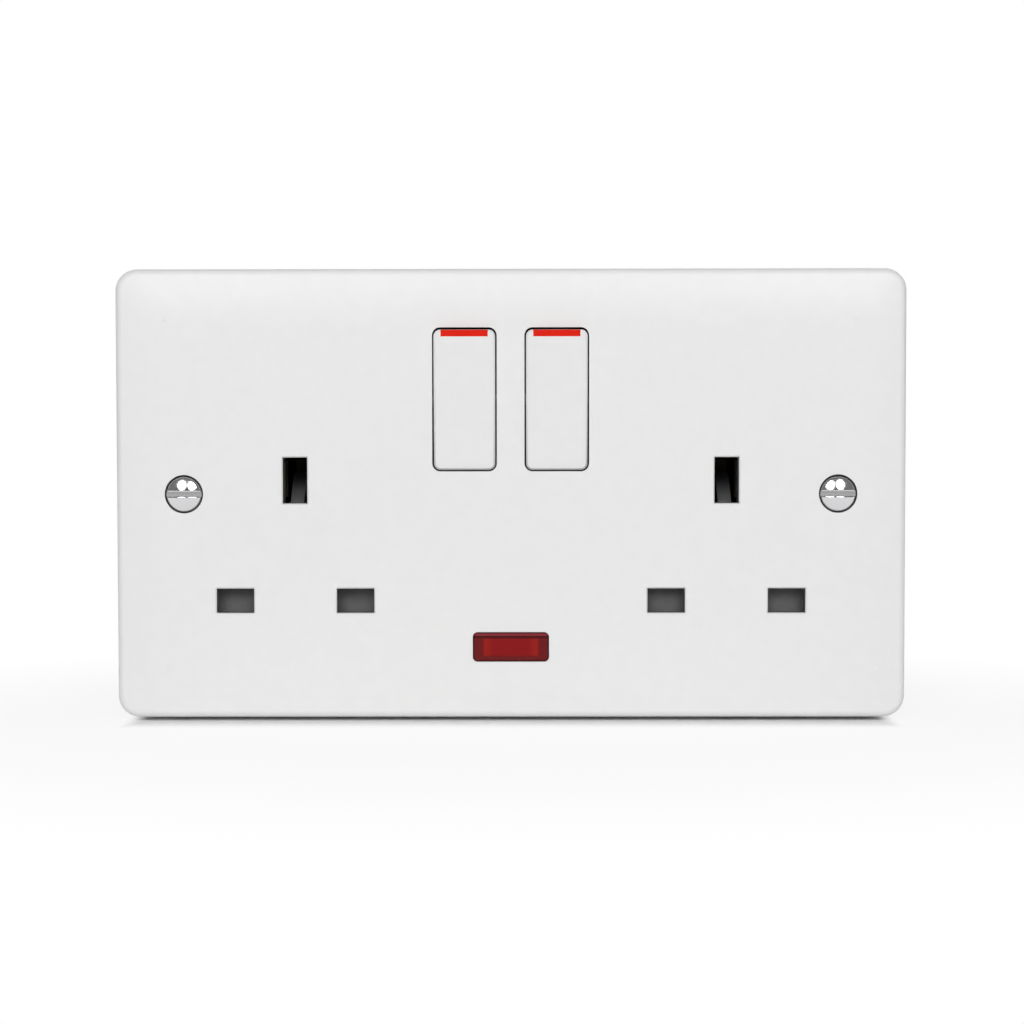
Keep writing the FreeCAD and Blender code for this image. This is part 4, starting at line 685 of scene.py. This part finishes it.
@dataclass(frozen=True)
class Coil:
    """A coil spring of round wire with closed, flattened ends, on an axis square to X."""

    outer: float
    wire: float
    turns: float
    length: float
    foot: Triple
    axis: Triple
    flat: float = 0.6
    end_wires: float = 2.2
    steps: int = 48
    around: int = 12

    def surface(self) -> Surface:
        """The wire as a tube along a helix.

        The centreline is radius * (cos t, sin t) across the axis. Its rise is slow over the flat
        part of the end turns and climbs evenly between them.

        Returns:
            The surface.
        """
        angle = np.linspace(0.0, TURN * self.turns, int(self.steps * self.turns))
        turn = angle / TURN
        share = np.clip((turn - self.flat) / (self.turns - 2.0 * self.flat), 0.0, 1.0)
        tail = np.maximum(turn - (self.turns - self.flat), 0.0)
        rise = self.wire * (np.minimum(turn, self.flat) + tail)
        rise = rise + share * (self.length - self.wire * self.end_wires)
        rise = 0.5 * self.wire + rise * (self.length - self.wire) / rise[-1]
        axis = np.array(self.axis) / np.linalg.norm(self.axis)
        side = np.cross(axis, (1.0, 0.0, 0.0))
        side = side / np.linalg.norm(side)
        out = np.cos(angle)[:, None] * side + np.sin(angle)[:, None] * np.cross(axis, side)
        radius = 0.5 * (self.outer - self.wire)
        centres = np.array(self.foot) + radius * out + rise[:, None] * axis
        along = np.gradient(centres, axis=0)
        along = along / np.linalg.norm(along, axis=1, keepdims=True)
        across = np.cross(along, out)
        across = across / np.linalg.norm(across, axis=1, keepdims=True)
        surface = Surface()
        surface.tube(centres, along, np.cross(across, along), 0.5 * self.wire, self.around)
        return surface


@dataclass(frozen=True)
class Screw:
    """A slotted screw: a domed or flat head, a plain neck and a threaded shank."""

    head: float
    wall: float
    dome: float
    slot: float
    slot_depth: float
    bevel: float
    neck: float
    neck_length: float
    shank: float
    length: float
    pitch: float

    def crown(self, radius: Array) -> Array:
        """Height of the head's top over its seat at a distance from its axis.

        A shallow dome on a straight wall, with the rim rounded by a quarter circle.

        Args:
            radius: Distances from the axis.

        Returns:
            Heights.
        """
        edge = 0.5 * self.head
        top = self.wall + self.dome * (1.0 - (radius / edge) ** 2)
        over = np.clip((radius - edge + self.bevel) / self.bevel, 0.0, 1.0)
        return top - self.bevel * (1.0 - np.sqrt(1.0 - over**2))

    def head_shell(self, surface: Surface, frame: Array, seat: Array) -> None:
        """Adds the head: rows across a disc, with a step down at each side of the slot.

        Args:
            surface: Where the shell goes.
            frame: The screw's u, v and w directions as rows.
            seat: Centre of the head's underside.
        """
        outer_rows, slot_rows, columns, lip_share, lip_drop = 22, 7, 49, 0.06, 0.6
        edge, half, lip = 0.5 * self.head, 0.5 * self.slot, lip_share * self.slot
        outer = edge * np.sin(np.linspace(-0.25 * TURN, -np.arcsin(half / edge), outer_rows))
        inner = np.linspace(-half, half, slot_rows)
        rows = np.concatenate([outer[:-1], [-half - lip, -half], inner, [half, half + lip],
                               -outer[::-1][1:]])
        sunk = np.zeros(len(rows), dtype=bool)
        sunk[outer_rows + 1:outer_rows + 1 + slot_rows] = True
        swing = np.linspace(-0.25 * TURN, 0.25 * TURN, columns)
        reach = np.sqrt(np.maximum(edge**2 - rows**2, 0.0))
        u = reach[:, None] * np.sin(swing)[None, :]
        v = np.broadcast_to(rows[:, None], u.shape)
        top = self.crown(np.minimum(np.hypot(u, v), edge))
        floor = self.wall + self.dome - self.slot_depth
        rounded = lip * lip_drop * (np.abs(rows) < half + 0.5 * lip)
        w = np.where(sunk[:, None], floor, top - rounded[:, None])
        points = np.stack([u, v, w], axis=-1)
        rim = np.concatenate([points[:, -1], points[::-1, 0]])
        base = rim * np.array((1.0, 1.0, 0.0))
        every = np.concatenate([points.reshape(-1, 3), rim, base, np.zeros((1, 3))])
        start, count = len(rows) * columns, len(rim)
        here = np.arange(count)
        after = (here + 1) % count
        wall = np.stack([start + after, start + here, start + count + here,
                         start + count + after], axis=-1)
        under = np.stack([start + count + after, start + count + here,
                          np.full(count, start + 2 * count)], axis=-1)
        surface.shell(seat + every @ frame, grid_faces(len(rows), columns, wrap=False), wall, under)

    def shank_shell(self, surface: Surface, frame: Array, seat: Array) -> None:
        """Adds the neck and the thread.

        The radius is the root plus a triangle wave of (depth / pitch - angle / turn), which fades
        in at the neck and narrows at the point.

        Args:
            surface: Where the shell goes.
            frame: The screw's u, v and w directions as rows.
            seat: Centre of the head's underside.
        """
        around, steps_a_turn, least_steps, neck_steps = 32, 10, 16, 6
        crest_gain, crest_cut, point, into_head = 1.5, 0.2, 0.72, 0.2
        thread = self.length - self.neck_length
        steps = max(int(steps_a_turn * thread / self.pitch), least_steps)
        neck = np.linspace(-into_head * self.wall, self.neck_length, neck_steps)
        depth = np.concatenate([neck[:-1], np.linspace(self.neck_length, self.length, steps)])
        phase = depth[:, None] / self.pitch - np.linspace(0.0, 1.0, around, endpoint=False)
        wave = 1.0 - np.abs(2.0 * (phase - np.floor(phase)) - 1.0)
        wave = np.clip(crest_gain * wave - crest_cut, 0.0, 1.0)
        into = np.clip((depth - self.neck_length) / self.pitch, 0.0, 1.0)
        out = np.clip((self.length - depth) / self.pitch, 0.0, 1.0)
        root = 0.5 * self.neck
        crest = (0.5 * self.shank - root) * wave * into[:, None]
        radius = (root + crest) * (point + (1.0 - point) * np.sqrt(out))[:, None]
        down = -frame[2]
        surface.tube(seat + depth[:, None] * down, down, frame[0], radius, around)

    def add_to(self, surface: Surface, seat: Triple, facing: Facing) -> None:
        """Adds one screw to a surface.

        Args:
            surface: Where the screw goes.
            seat: Centre of the head's underside.
            facing: Which way the head looks.
        """
        frame = np.array(facing.value, dtype=float)
        spot = np.array(seat)
        self.head_shell(surface, frame, spot)
        self.shank_shell(surface, frame, spot)


@dataclass(frozen=True)
class Lead:
    """A round wire along two straight runs, square to each other, with a bend between them."""

    start: Triple
    corner: Triple
    end: Triple
    radius: float
    bend: float
    steps: int = 13
    around: int = 16

    def add_to(self, surface: Surface) -> None:
        """Adds the wire as circles round its path.

        The bend is a quarter circle: hub - bend * (cos t * two - sin t * one) between the runs.

        Args:
            surface: Where the wire goes.
        """
        start, corner, end = (np.array(p) for p in (self.start, self.corner, self.end))
        one = (corner - start) / np.linalg.norm(corner - start)
        two = (end - corner) / np.linalg.norm(end - corner)
        hub = corner - self.bend * one + self.bend * two
        t = np.linspace(0.0, 0.25 * TURN, self.steps)[:, None]
        arc = hub - self.bend * (np.cos(t) * two - np.sin(t) * one)
        along = np.concatenate([one[None], np.cos(t) * one + np.sin(t) * two, two[None]])
        surface.tube(np.concatenate([start[None], arc, end[None]]), along, np.cross(one, two),
                     self.radius, self.around)


@dataclass(frozen=True)
class Lathe:
    """A profile of (height, radius) turned round an upright line."""

    start: Triple
    profile: tuple[Pair, ...]
    steps: int = 8
    around: int = 40

    def surface(self) -> Surface:
        """The turned form, with its radius eased from point to point of the profile.

        Returns:
            The surface.
        """
        knots = np.array(self.profile)
        share = np.linspace(0.0, len(knots) - 1.0, self.steps * (len(knots) - 1) + 1)
        index = np.minimum(share.astype(int), len(knots) - 2)
        ease = share - index
        step = knots[index + 1] - knots[index]
        height = knots[index, 0] + step[:, 0] * ease
        radius = knots[index, 1] + step[:, 1] * ease * ease * (3.0 - 2.0 * ease)
        across, axis = np.eye(3)[1:]
        surface = Surface()
        surface.tube(np.array(self.start) + height[:, None] * axis, axis, across, radius,
                     self.around)
        return surface


SPRING_STEEL = Metal("spring_steel", (0.56, 0.56, 0.57), (0.32, 0.3, 0.27), 0.25)
SCREW_STEEL = Metal("screw_steel", (0.62, 0.62, 0.63), (0.42, 0.42, 0.4), 0.28, (1, 0.2, 1))


@dataclass
class Assembly:
    """What every sub-assembly needs: the loaded frame and the shared effects."""

    frame: dict
    effects: Effects

    def dress(self, finish: Finish, *nodes: str) -> None:
        """Gives CAD nodes a finish.

        Args:
            finish: The finish.
            *nodes: Node names.
        """
        material = self.effects.material(finish)
        for name in nodes:
            data = self.frame["nodes"][name].data
            data.materials.clear()
            data.materials.append(material)
            LOG.info("dressed %s in %s", name, finish.name)

    def place(self, surface: Surface, name: str, body: str, finish: Finish,
              *nodes: str) -> bpy.types.Object:
        """Turns a surface into a piece that stands for CAD nodes.

        Args:
            surface: The new form.
            name: Piece name.
            body: CAD body that it rides on.
            finish: Its finish.
            *nodes: CAD nodes that it replaces.

        Returns:
            The piece.
        """
        piece = surface.mesh(name)
        piece.data.materials.append(self.effects.material(finish))
        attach(piece, body)
        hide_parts(*nodes)
        LOG.info("built %s on %s with %d points", name, body, surface.count)
        return piece

    def joint(self, name: str) -> dict:
        """The entry of a joint in the frame."""
        return next(j for j in self.frame["joints"] if j["name"] == name)


@dataclass
class Front(Assembly):
    """The faceplate and the two rockers with their flashes."""

    white: Triple = (0.84, 0.84, 0.838)
    flat_half: Pair = (64.5 * MM, 32.8 * MM)
    slots_half: Pair = (54.5 * MM, 28.0 * MM)
    shade_start: float = 0.06 * MM
    shade_depth: float = 0.9 * MM
    wall: float = 2.05 * MM
    land: float = 4.15 * MM
    pivot_start: float = 0.1 * MM
    pivot_half: float = 4.0 * MM
    pivot_end: float = 2.9 * MM
    meeting: Pair = (63.15 * MM, 31.65 * MM)
    border: Pair = (68.83 * MM, 0.32 * MM)
    border_way: Triple = (0.1135, -0.9935, 0.0)
    flash: Plastic = Plastic("flash_plastic", (0.78, 0.016, 0.005), 0.32, mottle=0.06,
                             specular=0.12)

    def build(self) -> None:
        """Dresses the pieces that the face shows, with painted shade in their gaps."""
        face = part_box("faceplate")[0].y
        pivot = self.joint("left_rocker_hinge")["pos_m"]
        # Painted shade on the walls of the slots, switch wells, lamp opening and screw recesses,
        # darker with depth behind the face.
        gaps = tuple(GapShade((0.0, face, 0.0), half, self.shade_start, self.shade_depth, limit)
                     for half, limit in ((self.flat_half, self.wall),
                                         (self.slots_half, self.land)))
        # Painted shade on the rockers in a band round the pivot, from just behind the face back to
        # the trunnions.
        pins = GapShade((0.0, face, pivot[2]), (EVERYWHERE, self.pivot_half), self.pivot_start,
                        self.shade_depth, self.pivot_end)
        x, z = self.meeting
        level = [((x * a, face, z * b), (0.0, -1.0, 0.0)) for a, b in ((-1, -1), (-1, 1), (1, 1))]
        level.append(((self.border[0], face + self.border[1], -z), self.border_way))
        plate = Plastic("plate_plastic", self.white, 0.34, mottle=0.012, gloss_spread=0.03,
                        gaps=gaps, meeting=tuple(level))
        rocker = Plastic("rocker_plastic", self.white, 0.3, mottle=0.012, gloss_spread=0.03,
                         gaps=(pins,))
        self.dress(plate, "faceplate")
        self.dress(rocker, *both("rocker"))
        self.dress(self.flash, *both("rocker_flash"))


@dataclass
class Shutters(Assembly):
    """The slides behind the slots and their return springs."""

    wire: float = 0.45 * MM
    turns: float = 9.0
    grey: Triple = (0.115, 0.115, 0.118)
    ramp_start: float = 0.1 * MM
    ramp_depth: float = 5.0 * MM

    def build(self) -> None:
        """Dresses the slides, with painted shade that darkens towards the back of their ramps, and
        winds the springs.
        """
        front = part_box("left_shutter")[0].y
        # Painted shade: the slides darken with depth behind their front, down into the slots.
        gap = GapShade((0.0, front, 0.0), (EVERYWHERE, EVERYWHERE), self.ramp_start,
                       self.ramp_depth)
        slide = Plastic("shutter_plastic", self.grey, 0.45, mottle=0.12, gaps=(gap,))
        self.dress(slide, *both("shutter"))
        for side in Side:
            node = f"{side.word}_shutter_spring"
            low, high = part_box(node)
            middle = (low + high) / 2
            length = high.z - low.z
            foot = (middle.x, middle.y, low.z)
            coil = Coil(high.x - low.x, self.wire, self.turns, length, foot, (0.0, 0.0, 1.0))
            piece = self.place(coil.surface(), f"{node}_coil", "socket", SPRING_STEEL, node)
            joint = f"{side.word}_shutter_slide"
            travel = self.joint(joint)["range_m"][1]
            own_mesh(piece)


@dataclass
class Switches(Assembly):
    """Plungers, their springs, the moving contacts and the contact tips."""

    wire: float = 0.45 * MM
    turns: float = 4.5
    seat_front: float = 1.2 * MM
    seat_back: float = 3.2 * MM
    outer: float = 3.2 * MM
    rod: Plastic = Plastic("plunger_plastic", (0.72, 0.72, 0.67), 0.42, mottle=0.08)
    brass: Metal = Metal("brass", (0.78, 0.56, 0.24), (0.42, 0.27, 0.11), 0.24, (1, 1, 0.02))
    silver: Metal = Metal("silver", (0.86, 0.85, 0.82), (0.5, 0.47, 0.42), 0.2, (1, 1, 1))

    def build(self) -> None:
        """Dresses the contacts and winds the plunger springs."""
        self.dress(self.rod, *both("plunger"))
        self.dress(self.brass, *both("moving_contact"))
        self.dress(self.silver, *both("moving_tip"), *both("fixed_tip"))
        for side in Side:
            node = f"{side.word}_plunger_spring"
            joint = self.joint(f"{side.word}_plunger_slide")
            pivot = Vector(self.joint(f"{side.word}_rocker_hinge")["pos_m"])
            back = -Vector(joint["axis"])
            foot = pivot - back * self.seat_front
            length = self.seat_front + self.seat_back
            coil = Coil(self.outer, self.wire, self.turns, length, tuple(foot), tuple(back))
            piece = self.place(coil.surface(), f"{node}_coil", f"{side.word}_rocker",
                               SPRING_STEEL, node)
            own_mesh(piece)


@dataclass
class Conductors(Assembly):
    """Straps, clips, terminals and their clamp screws."""

    strip: Metal = Metal("brass", (0.78, 0.56, 0.24), (0.42, 0.27, 0.11), 0.26, (0.02, 1, 1))
    # A near-black metal: painted shade for brass parts that sit deep in the housing.
    bronze: Metal = Metal("dark_bronze", (0.11, 0.085, 0.055), (0.06, 0.05, 0.035), 0.5,
                          (1, 1, 0.02))
    block: Metal = Metal("terminal_brass", (0.74, 0.54, 0.25), (0.4, 0.26, 0.11), 0.32,
                         (1, 0.05, 1))
    clamp: Screw = Screw(head=5.6 * MM, wall=1.5 * MM, dome=0.3 * MM, slot=0.9 * MM,
                         slot_depth=0.9 * MM, bevel=0.25 * MM, neck=2.9 * MM,
                         neck_length=0.4 * MM, shank=3.5 * MM, length=3.15 * MM, pitch=0.6 * MM)

    def build(self) -> None:
        """Dresses the strip and blocks and cuts the clamp screws."""
        self.dress(self.strip, "neutral_strap", "earth_strap", *both("line_clip"),
                   *both("neutral_clip"))
        # The line strap, switched straps and earth clips get the near-black metal as painted shade.
        self.dress(self.bronze, "line_strap", *both("switched_strap"), *both("earth_clip"))
        blocks = ("left_earth_terminal", "neutral_terminal", "line_terminal",
                  "right_earth_terminal")
        self.dress(self.block, *blocks)
        low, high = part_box("terminal_screws")
        seat_y = high.y - self.clamp.wall - self.clamp.dome
        surface = Surface()
        for block in blocks:
            left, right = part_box(block)
            seat = ((left.x + right.x) / 2, seat_y, (low.z + high.z) / 2)
            self.clamp.add_to(surface, seat, Facing.REAR)
        self.place(surface, "clamp_screws", "socket", SCREW_STEEL, "terminal_screws")


@dataclass
class Fixings(Assembly):
    """The two fixing screws in the face and the four that hold the housing."""

    chrome: Metal = Metal("screw_chrome", (0.68, 0.68, 0.69), (0.5, 0.5, 0.5), 0.09, (0.03, 1, 1),
                          depth=0.0006 * MM, tarnish_share=0.3, gloss_spread=0.05)
    lower_x: float = 12.0 * MM
    wall_screw: Screw = Screw(head=6.5 * MM, wall=1.5 * MM, dome=0.78 * MM, slot=1.0 * MM,
                              slot_depth=1.1 * MM, bevel=0.45 * MM, neck=2.9 * MM,
                              neck_length=7.6 * MM, shank=3.5 * MM, length=31.0 * MM,
                              pitch=0.6 * MM)
    body_screw: Screw = Screw(head=5.4 * MM, wall=1.3 * MM, dome=0.6 * MM, slot=0.8 * MM,
                              slot_depth=0.9 * MM, bevel=0.3 * MM, neck=2.2 * MM,
                              neck_length=0.4 * MM, shank=2.9 * MM, length=11.8 * MM,
                              pitch=1.1 * MM)

    def build(self) -> None:
        """Cuts both kinds of screw."""
        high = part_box("fixing_screws")[1]
        reach = high.x - 0.5 * self.wall_screw.head
        seat_y = high.y - self.wall_screw.length
        surface = Surface()
        for side in Side:
            self.wall_screw.add_to(surface, (side.value * reach, seat_y, 0.0), Facing.FRONT)
        self.place(surface, "wall_screws", "socket", self.chrome, "fixing_screws")
        low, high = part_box("housing_screws")
        half = 0.5 * self.body_screw.head
        seat_y = high.y - self.body_screw.wall - self.body_screw.dome
        surface = Surface()
        for side in Side:
            for x, z in ((high.x - half, high.z - half), (self.lower_x, low.z + half)):
                self.body_screw.add_to(surface, (side.value * x, seat_y, z), Facing.REAR)
        self.place(surface, "body_screws", "socket", SCREW_STEEL, "housing_screws")


@dataclass
class Indicator(Assembly):
    """The red lens, the lamp behind it, its leads and its resistor."""

    lens_half: Pair = (7.05 * MM, 2.75 * MM)
    window: Pair = (5.05 * MM, 1.6 * MM)
    bevel: float = 0.72 * MM
    lead_radius: float = 0.3 * MM
    lead_bend: float = 1.2 * MM
    lead_out: float = 1.6 * MM
    spread: float = 0.8 * MM
    coat: Triple = (0.66, 0.5, 0.3)
    bands: tuple[Triple, ...] = ((0.6, 0.22, 0.02), (0.6, 0.22, 0.02), (0.75, 0.6, 0.03),
                                 (0.5, 0.33, 0.08))
    swell: tuple[Pair, ...] = ((0.0, 0.45), (0.06, 0.9), (0.14, 1.0), (0.24, 0.98), (0.34, 0.86),
                               (0.66, 0.86), (0.76, 0.98), (0.86, 1.0), (0.94, 0.9), (1.0, 0.45))
    glass: ClearGlass = ClearGlass("lamp_glass")
    wire: Metal = Metal("lamp_metal", (0.6, 0.58, 0.55), (0.4, 0.36, 0.3), 0.22, (1, 1, 1))

    def build(self) -> None:
        """Dresses the lens and makes the lamp, leads and resistor."""
        low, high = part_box("neon_lens")
        lens = LensRed("lens_plastic", tuple((low + high) / 2), self.lens_half, self.window,
                       self.bevel)
        self.dress(lens, "neon_lens")
        self.dress(self.glass, "lamp_glass")
        self.dress(self.wire, "lamp_electrodes")
        self.build_resistor()
        self.build_leads()

    def build_resistor(self) -> None:
        """Turns the resistor: a body that swells at its two end caps."""
        low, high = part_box("lamp_resistor")
        length, radius = high.z - low.z, 0.5 * (high.x - low.x)
        coat = BandedCoat("resistor_coat", self.coat, self.bands, low.z, length)
        foot = ((low.x + high.x) / 2, (low.y + high.y) / 2, low.z)
        profile = tuple((share * length, size * radius) for share, size in self.swell)
        self.place(Lathe(foot, profile).surface(), "resistor_body", "socket", coat,
                   "lamp_resistor")

    def build_leads(self) -> None:
        """Bends the three leads between the lamp, the resistor and the straps."""
        glass_low, glass_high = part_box("lamp_glass")
        low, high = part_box("lamp_resistor")
        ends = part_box("lamp_leads")[1]
        y, z = (glass_low.y + glass_high.y) / 2, (glass_low.z + glass_high.z) / 2
        x, middle = glass_high.x, (low.x + high.x) / 2
        out = x + self.lead_out
        neutral_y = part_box("neutral_strap")[0].y
        top = ends.z - self.lead_radius
        surface = Surface()
        runs = (
            ((x, y, z - self.spread), (out, y, z - self.spread), (out, neutral_y, z - self.spread)),
            ((x, y, z + self.spread), (middle, y, z + self.spread), (middle, y, low.z)),
            ((middle, y, high.z), (middle, y, top), (middle, ends.y, top)),
        )
        for run in runs:
            Lead(*run, self.lead_radius, self.lead_bend).add_to(surface)
        self.place(surface, "lamp_wires", "socket", self.wire, "lamp_leads")


@dataclass
class Rear(Assembly):
    """The rear housing."""

    moulding: Plastic = Plastic("housing_plastic", (0.045, 0.045, 0.05), 0.5, scale=2600.0,
                                depth=0.012 * MM, mottle=0.2, gloss_spread=0.12)

    def build(self) -> None:
        """Dresses the housing."""
        self.dress(self.moulding, "rear_housing")


@dataclass
class Studio:
    """Floor, backdrop, soft light and the camera at the photograph's angle."""

    floor: float
    dusk: float = 0.08
    walls: float = 0.22
    dusk_way: Pair = (-0.97, -0.75)
    eye: Triple = (2.604 * MM, -400.0 * MM, 12.0 * MM)
    yaw: float = -0.3473
    pitch: float = -2.2463
    roll: float = 0.0684
    lens: float = 74.615
    drop: float = 0.8 * MM
    lip: float = 8.0 * MM
    half_width: float = 68.0 * MM
    wedge: float = 9.0 * MM
    side_wedge: float = 4.0 * MM
    near: float = 45.0 * MM
    far: float = 140.0 * MM
    haze: float = 0.86
    stretch: Triple = (0.75, 1.0, 0.0)
    paper_tint: Triple = (0.93, 0.93, 0.93)
    box_place: Triple = (0.53, -1.8, 0.86)
    box_size: Pair = (0.88, 1.0)
    box_power: float = 14.4

    def build(self) -> None:
        """Sets the stage."""
        self.sweep()
        self.surroundings()
        for side in (Side.RIGHT, Side.LEFT):
            self.softbox(side)
        self.camera()
        bpy.context.scene.view_settings.view_transform = "Standard"

    def sweep(self) -> None:
        """A floor that curves up into a backdrop, as one grid of rows across.

        The profile runs along the floor, round a quarter circle and up. Every row is one point
        of the profile, spread evenly from left to right.
        """
        front, back, bend, top, half = -1.4, 1.0, 0.5, 1.6, 1.8
        floor_rows, bend_rows, wall_rows, columns = 40, 25, 12, 31
        t = np.linspace(0.0, 0.25 * TURN, bend_rows)
        run = np.linspace(front, back, floor_rows)[:-1]
        climb = np.linspace(bend, top, wall_rows)[1:]
        y = np.concatenate([run, back + bend * np.sin(t), np.full(len(climb), back + bend)])
        z = np.concatenate([np.zeros(len(run)), bend * (1.0 - np.cos(t)), climb])
        x = np.linspace(half, -half, columns)
        spread = np.broadcast_arrays(x[None, :], y[:, None], z[:, None] + self.floor - self.drop)
        surface = Surface()
        surface.shell(np.stack(spread, axis=-1), grid_faces(len(y), columns, wrap=False)[:, ::-1])
        floor = surface.mesh("studio_sweep", 60.0)
        floor.data.materials.append(self.paper())

    def paper(self) -> bpy.types.Material:
        """White paper: plain white to the eye, with the shadow fading out from the object.

        The share of white is nought under the plate, climbs to the haze over the wedge in front
        of its lip and beside it, and reaches one between near and far.

        Returns:
            The material.
        """
        material = bpy.data.materials.new("studio_paper")
        material.use_nodes = True
        graph = Graph(material.node_tree)
        shader = material.node_tree.nodes["Principled BSDF"]
        graph.fill(shader, {"Base Color": colour(self.paper_tint), "Roughness": 0.7,
                            "Specular IOR Level": 0.1})
        place = graph.add("TexCoord").outputs["Object"]
        flat = graph.add("VectorMath", {0: place, 1: self.stretch}, operation="MULTIPLY")
        reach = graph.add("VectorMath", {0: flat.outputs[0]}, operation="LENGTH").outputs["Value"]
        parts = graph.add("SeparateXYZ", {0: place}).outputs
        ahead = graph.ramp(graph.math("MULTIPLY", parts[1], -1.0), self.lip, self.lip + self.wedge,
                           0.0, self.haze)
        beside = graph.ramp(graph.math("ABSOLUTE", parts[0]), self.half_width,
                            self.half_width + self.side_wedge, 0.0, self.haze)
        dim = graph.math("SUBTRACT", 1.0, graph.math("MAXIMUM", ahead, beside))
        dim = graph.math("MULTIPLY", dim, graph.ramp(reach, self.near, self.far, 1.0, 0.0))
        away = graph.math("SUBTRACT", 1.0, dim)
        path = graph.add("LightPath").outputs
        seen = graph.math("MAXIMUM", path["Is Camera Ray"],
                          graph.math("MAXIMUM", path["Is Glossy Ray"],
                                     path["Is Transmission Ray"]))
        white = graph.add("Emission", {"Color": WHITE, "Strength": 1.0})
        mixed = graph.add("MixShader", {0: graph.math("MULTIPLY", away, seen),
                                        1: shader.outputs[0], 2: white.outputs[0]})
        graph.fill(material.node_tree.nodes["Material Output"], {"Surface": mixed.outputs[0]})
        return material

    def surroundings(self) -> None:
        """A neutral world that is dark straight in front and lighter all round."""
        world = bpy.data.worlds.new("studio")
        bpy.context.scene.world = world
        world.use_nodes = True
        graph = Graph(world.node_tree)
        way = graph.add("TexCoord").outputs["Generated"]
        behind = graph.add("SeparateXYZ", {0: way}).outputs[1]
        glow = graph.ramp(behind, *self.dusk_way, self.dusk, self.walls)
        graph.fill(world.node_tree.nodes["Background"], {"Color": WHITE, "Strength": glow})

    def softbox(self, side: Side) -> None:
        """Adds an oval area light that looks at the origin.

        Args:
            side: Where it stands.
        """
        name = f"{side.word}_softbox"
        lamp = bpy.data.lights.new(name, "AREA")
        lamp.shape = "ELLIPSE"
        lamp.size, lamp.size_y = self.box_size
        lamp.energy = self.box_power
        holder = bpy.data.objects.new(name, lamp)
        x, y, z = self.box_place
        holder.location = (side.value * x, y, z)
        holder.rotation_euler = (-holder.location).to_track_quat("-Z", "Y").to_euler()
        bpy.context.scene.collection.objects.link(holder)

    def camera(self) -> None:
        """The camera, turned by yaw, then pitch, then roll from a level look along +Y."""
        yaw, pitch, roll = (math.radians(a) for a in (self.yaw, self.pitch, self.roll))
        right = Vector((math.cos(yaw), -math.sin(yaw), 0.0))
        level = Vector((math.sin(yaw), math.cos(yaw), 0.0))
        above = Vector((0.0, 0.0, 1.0))
        ahead = level * math.cos(pitch) + above * math.sin(pitch)
        up = above * math.cos(pitch) - level * math.sin(pitch)
        side = right * math.cos(roll) - up * math.sin(roll)
        top = right * math.sin(roll) + up * math.cos(roll)
        data = bpy.data.cameras.new("camera")
        data.lens = self.lens
        data.sensor_width = 36.0
        data.clip_start, data.clip_end = 0.01, 20.0
        eye = bpy.data.objects.new("camera", data)
        turn = Matrix((side, top, -ahead)).transposed().to_4x4()
        eye.matrix_world = Matrix.Translation(self.eye) @ turn
        bpy.context.scene.collection.objects.link(eye)
        bpy.context.scene.camera = eye


def main() -> None:
    """Loads the frame, builds every sub-assembly and the studio."""
    logging.basicConfig(level=logging.INFO, format="%(name)s: %(message)s")
    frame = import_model()
    effects = Effects()
    for assembly in (Front, Shutters, Switches, Conductors, Fixings, Indicator, Rear):
        assembly(frame, effects).build()
    Studio(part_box("faceplate")[0].z).build()


if __name__ == "__main__":
    main()
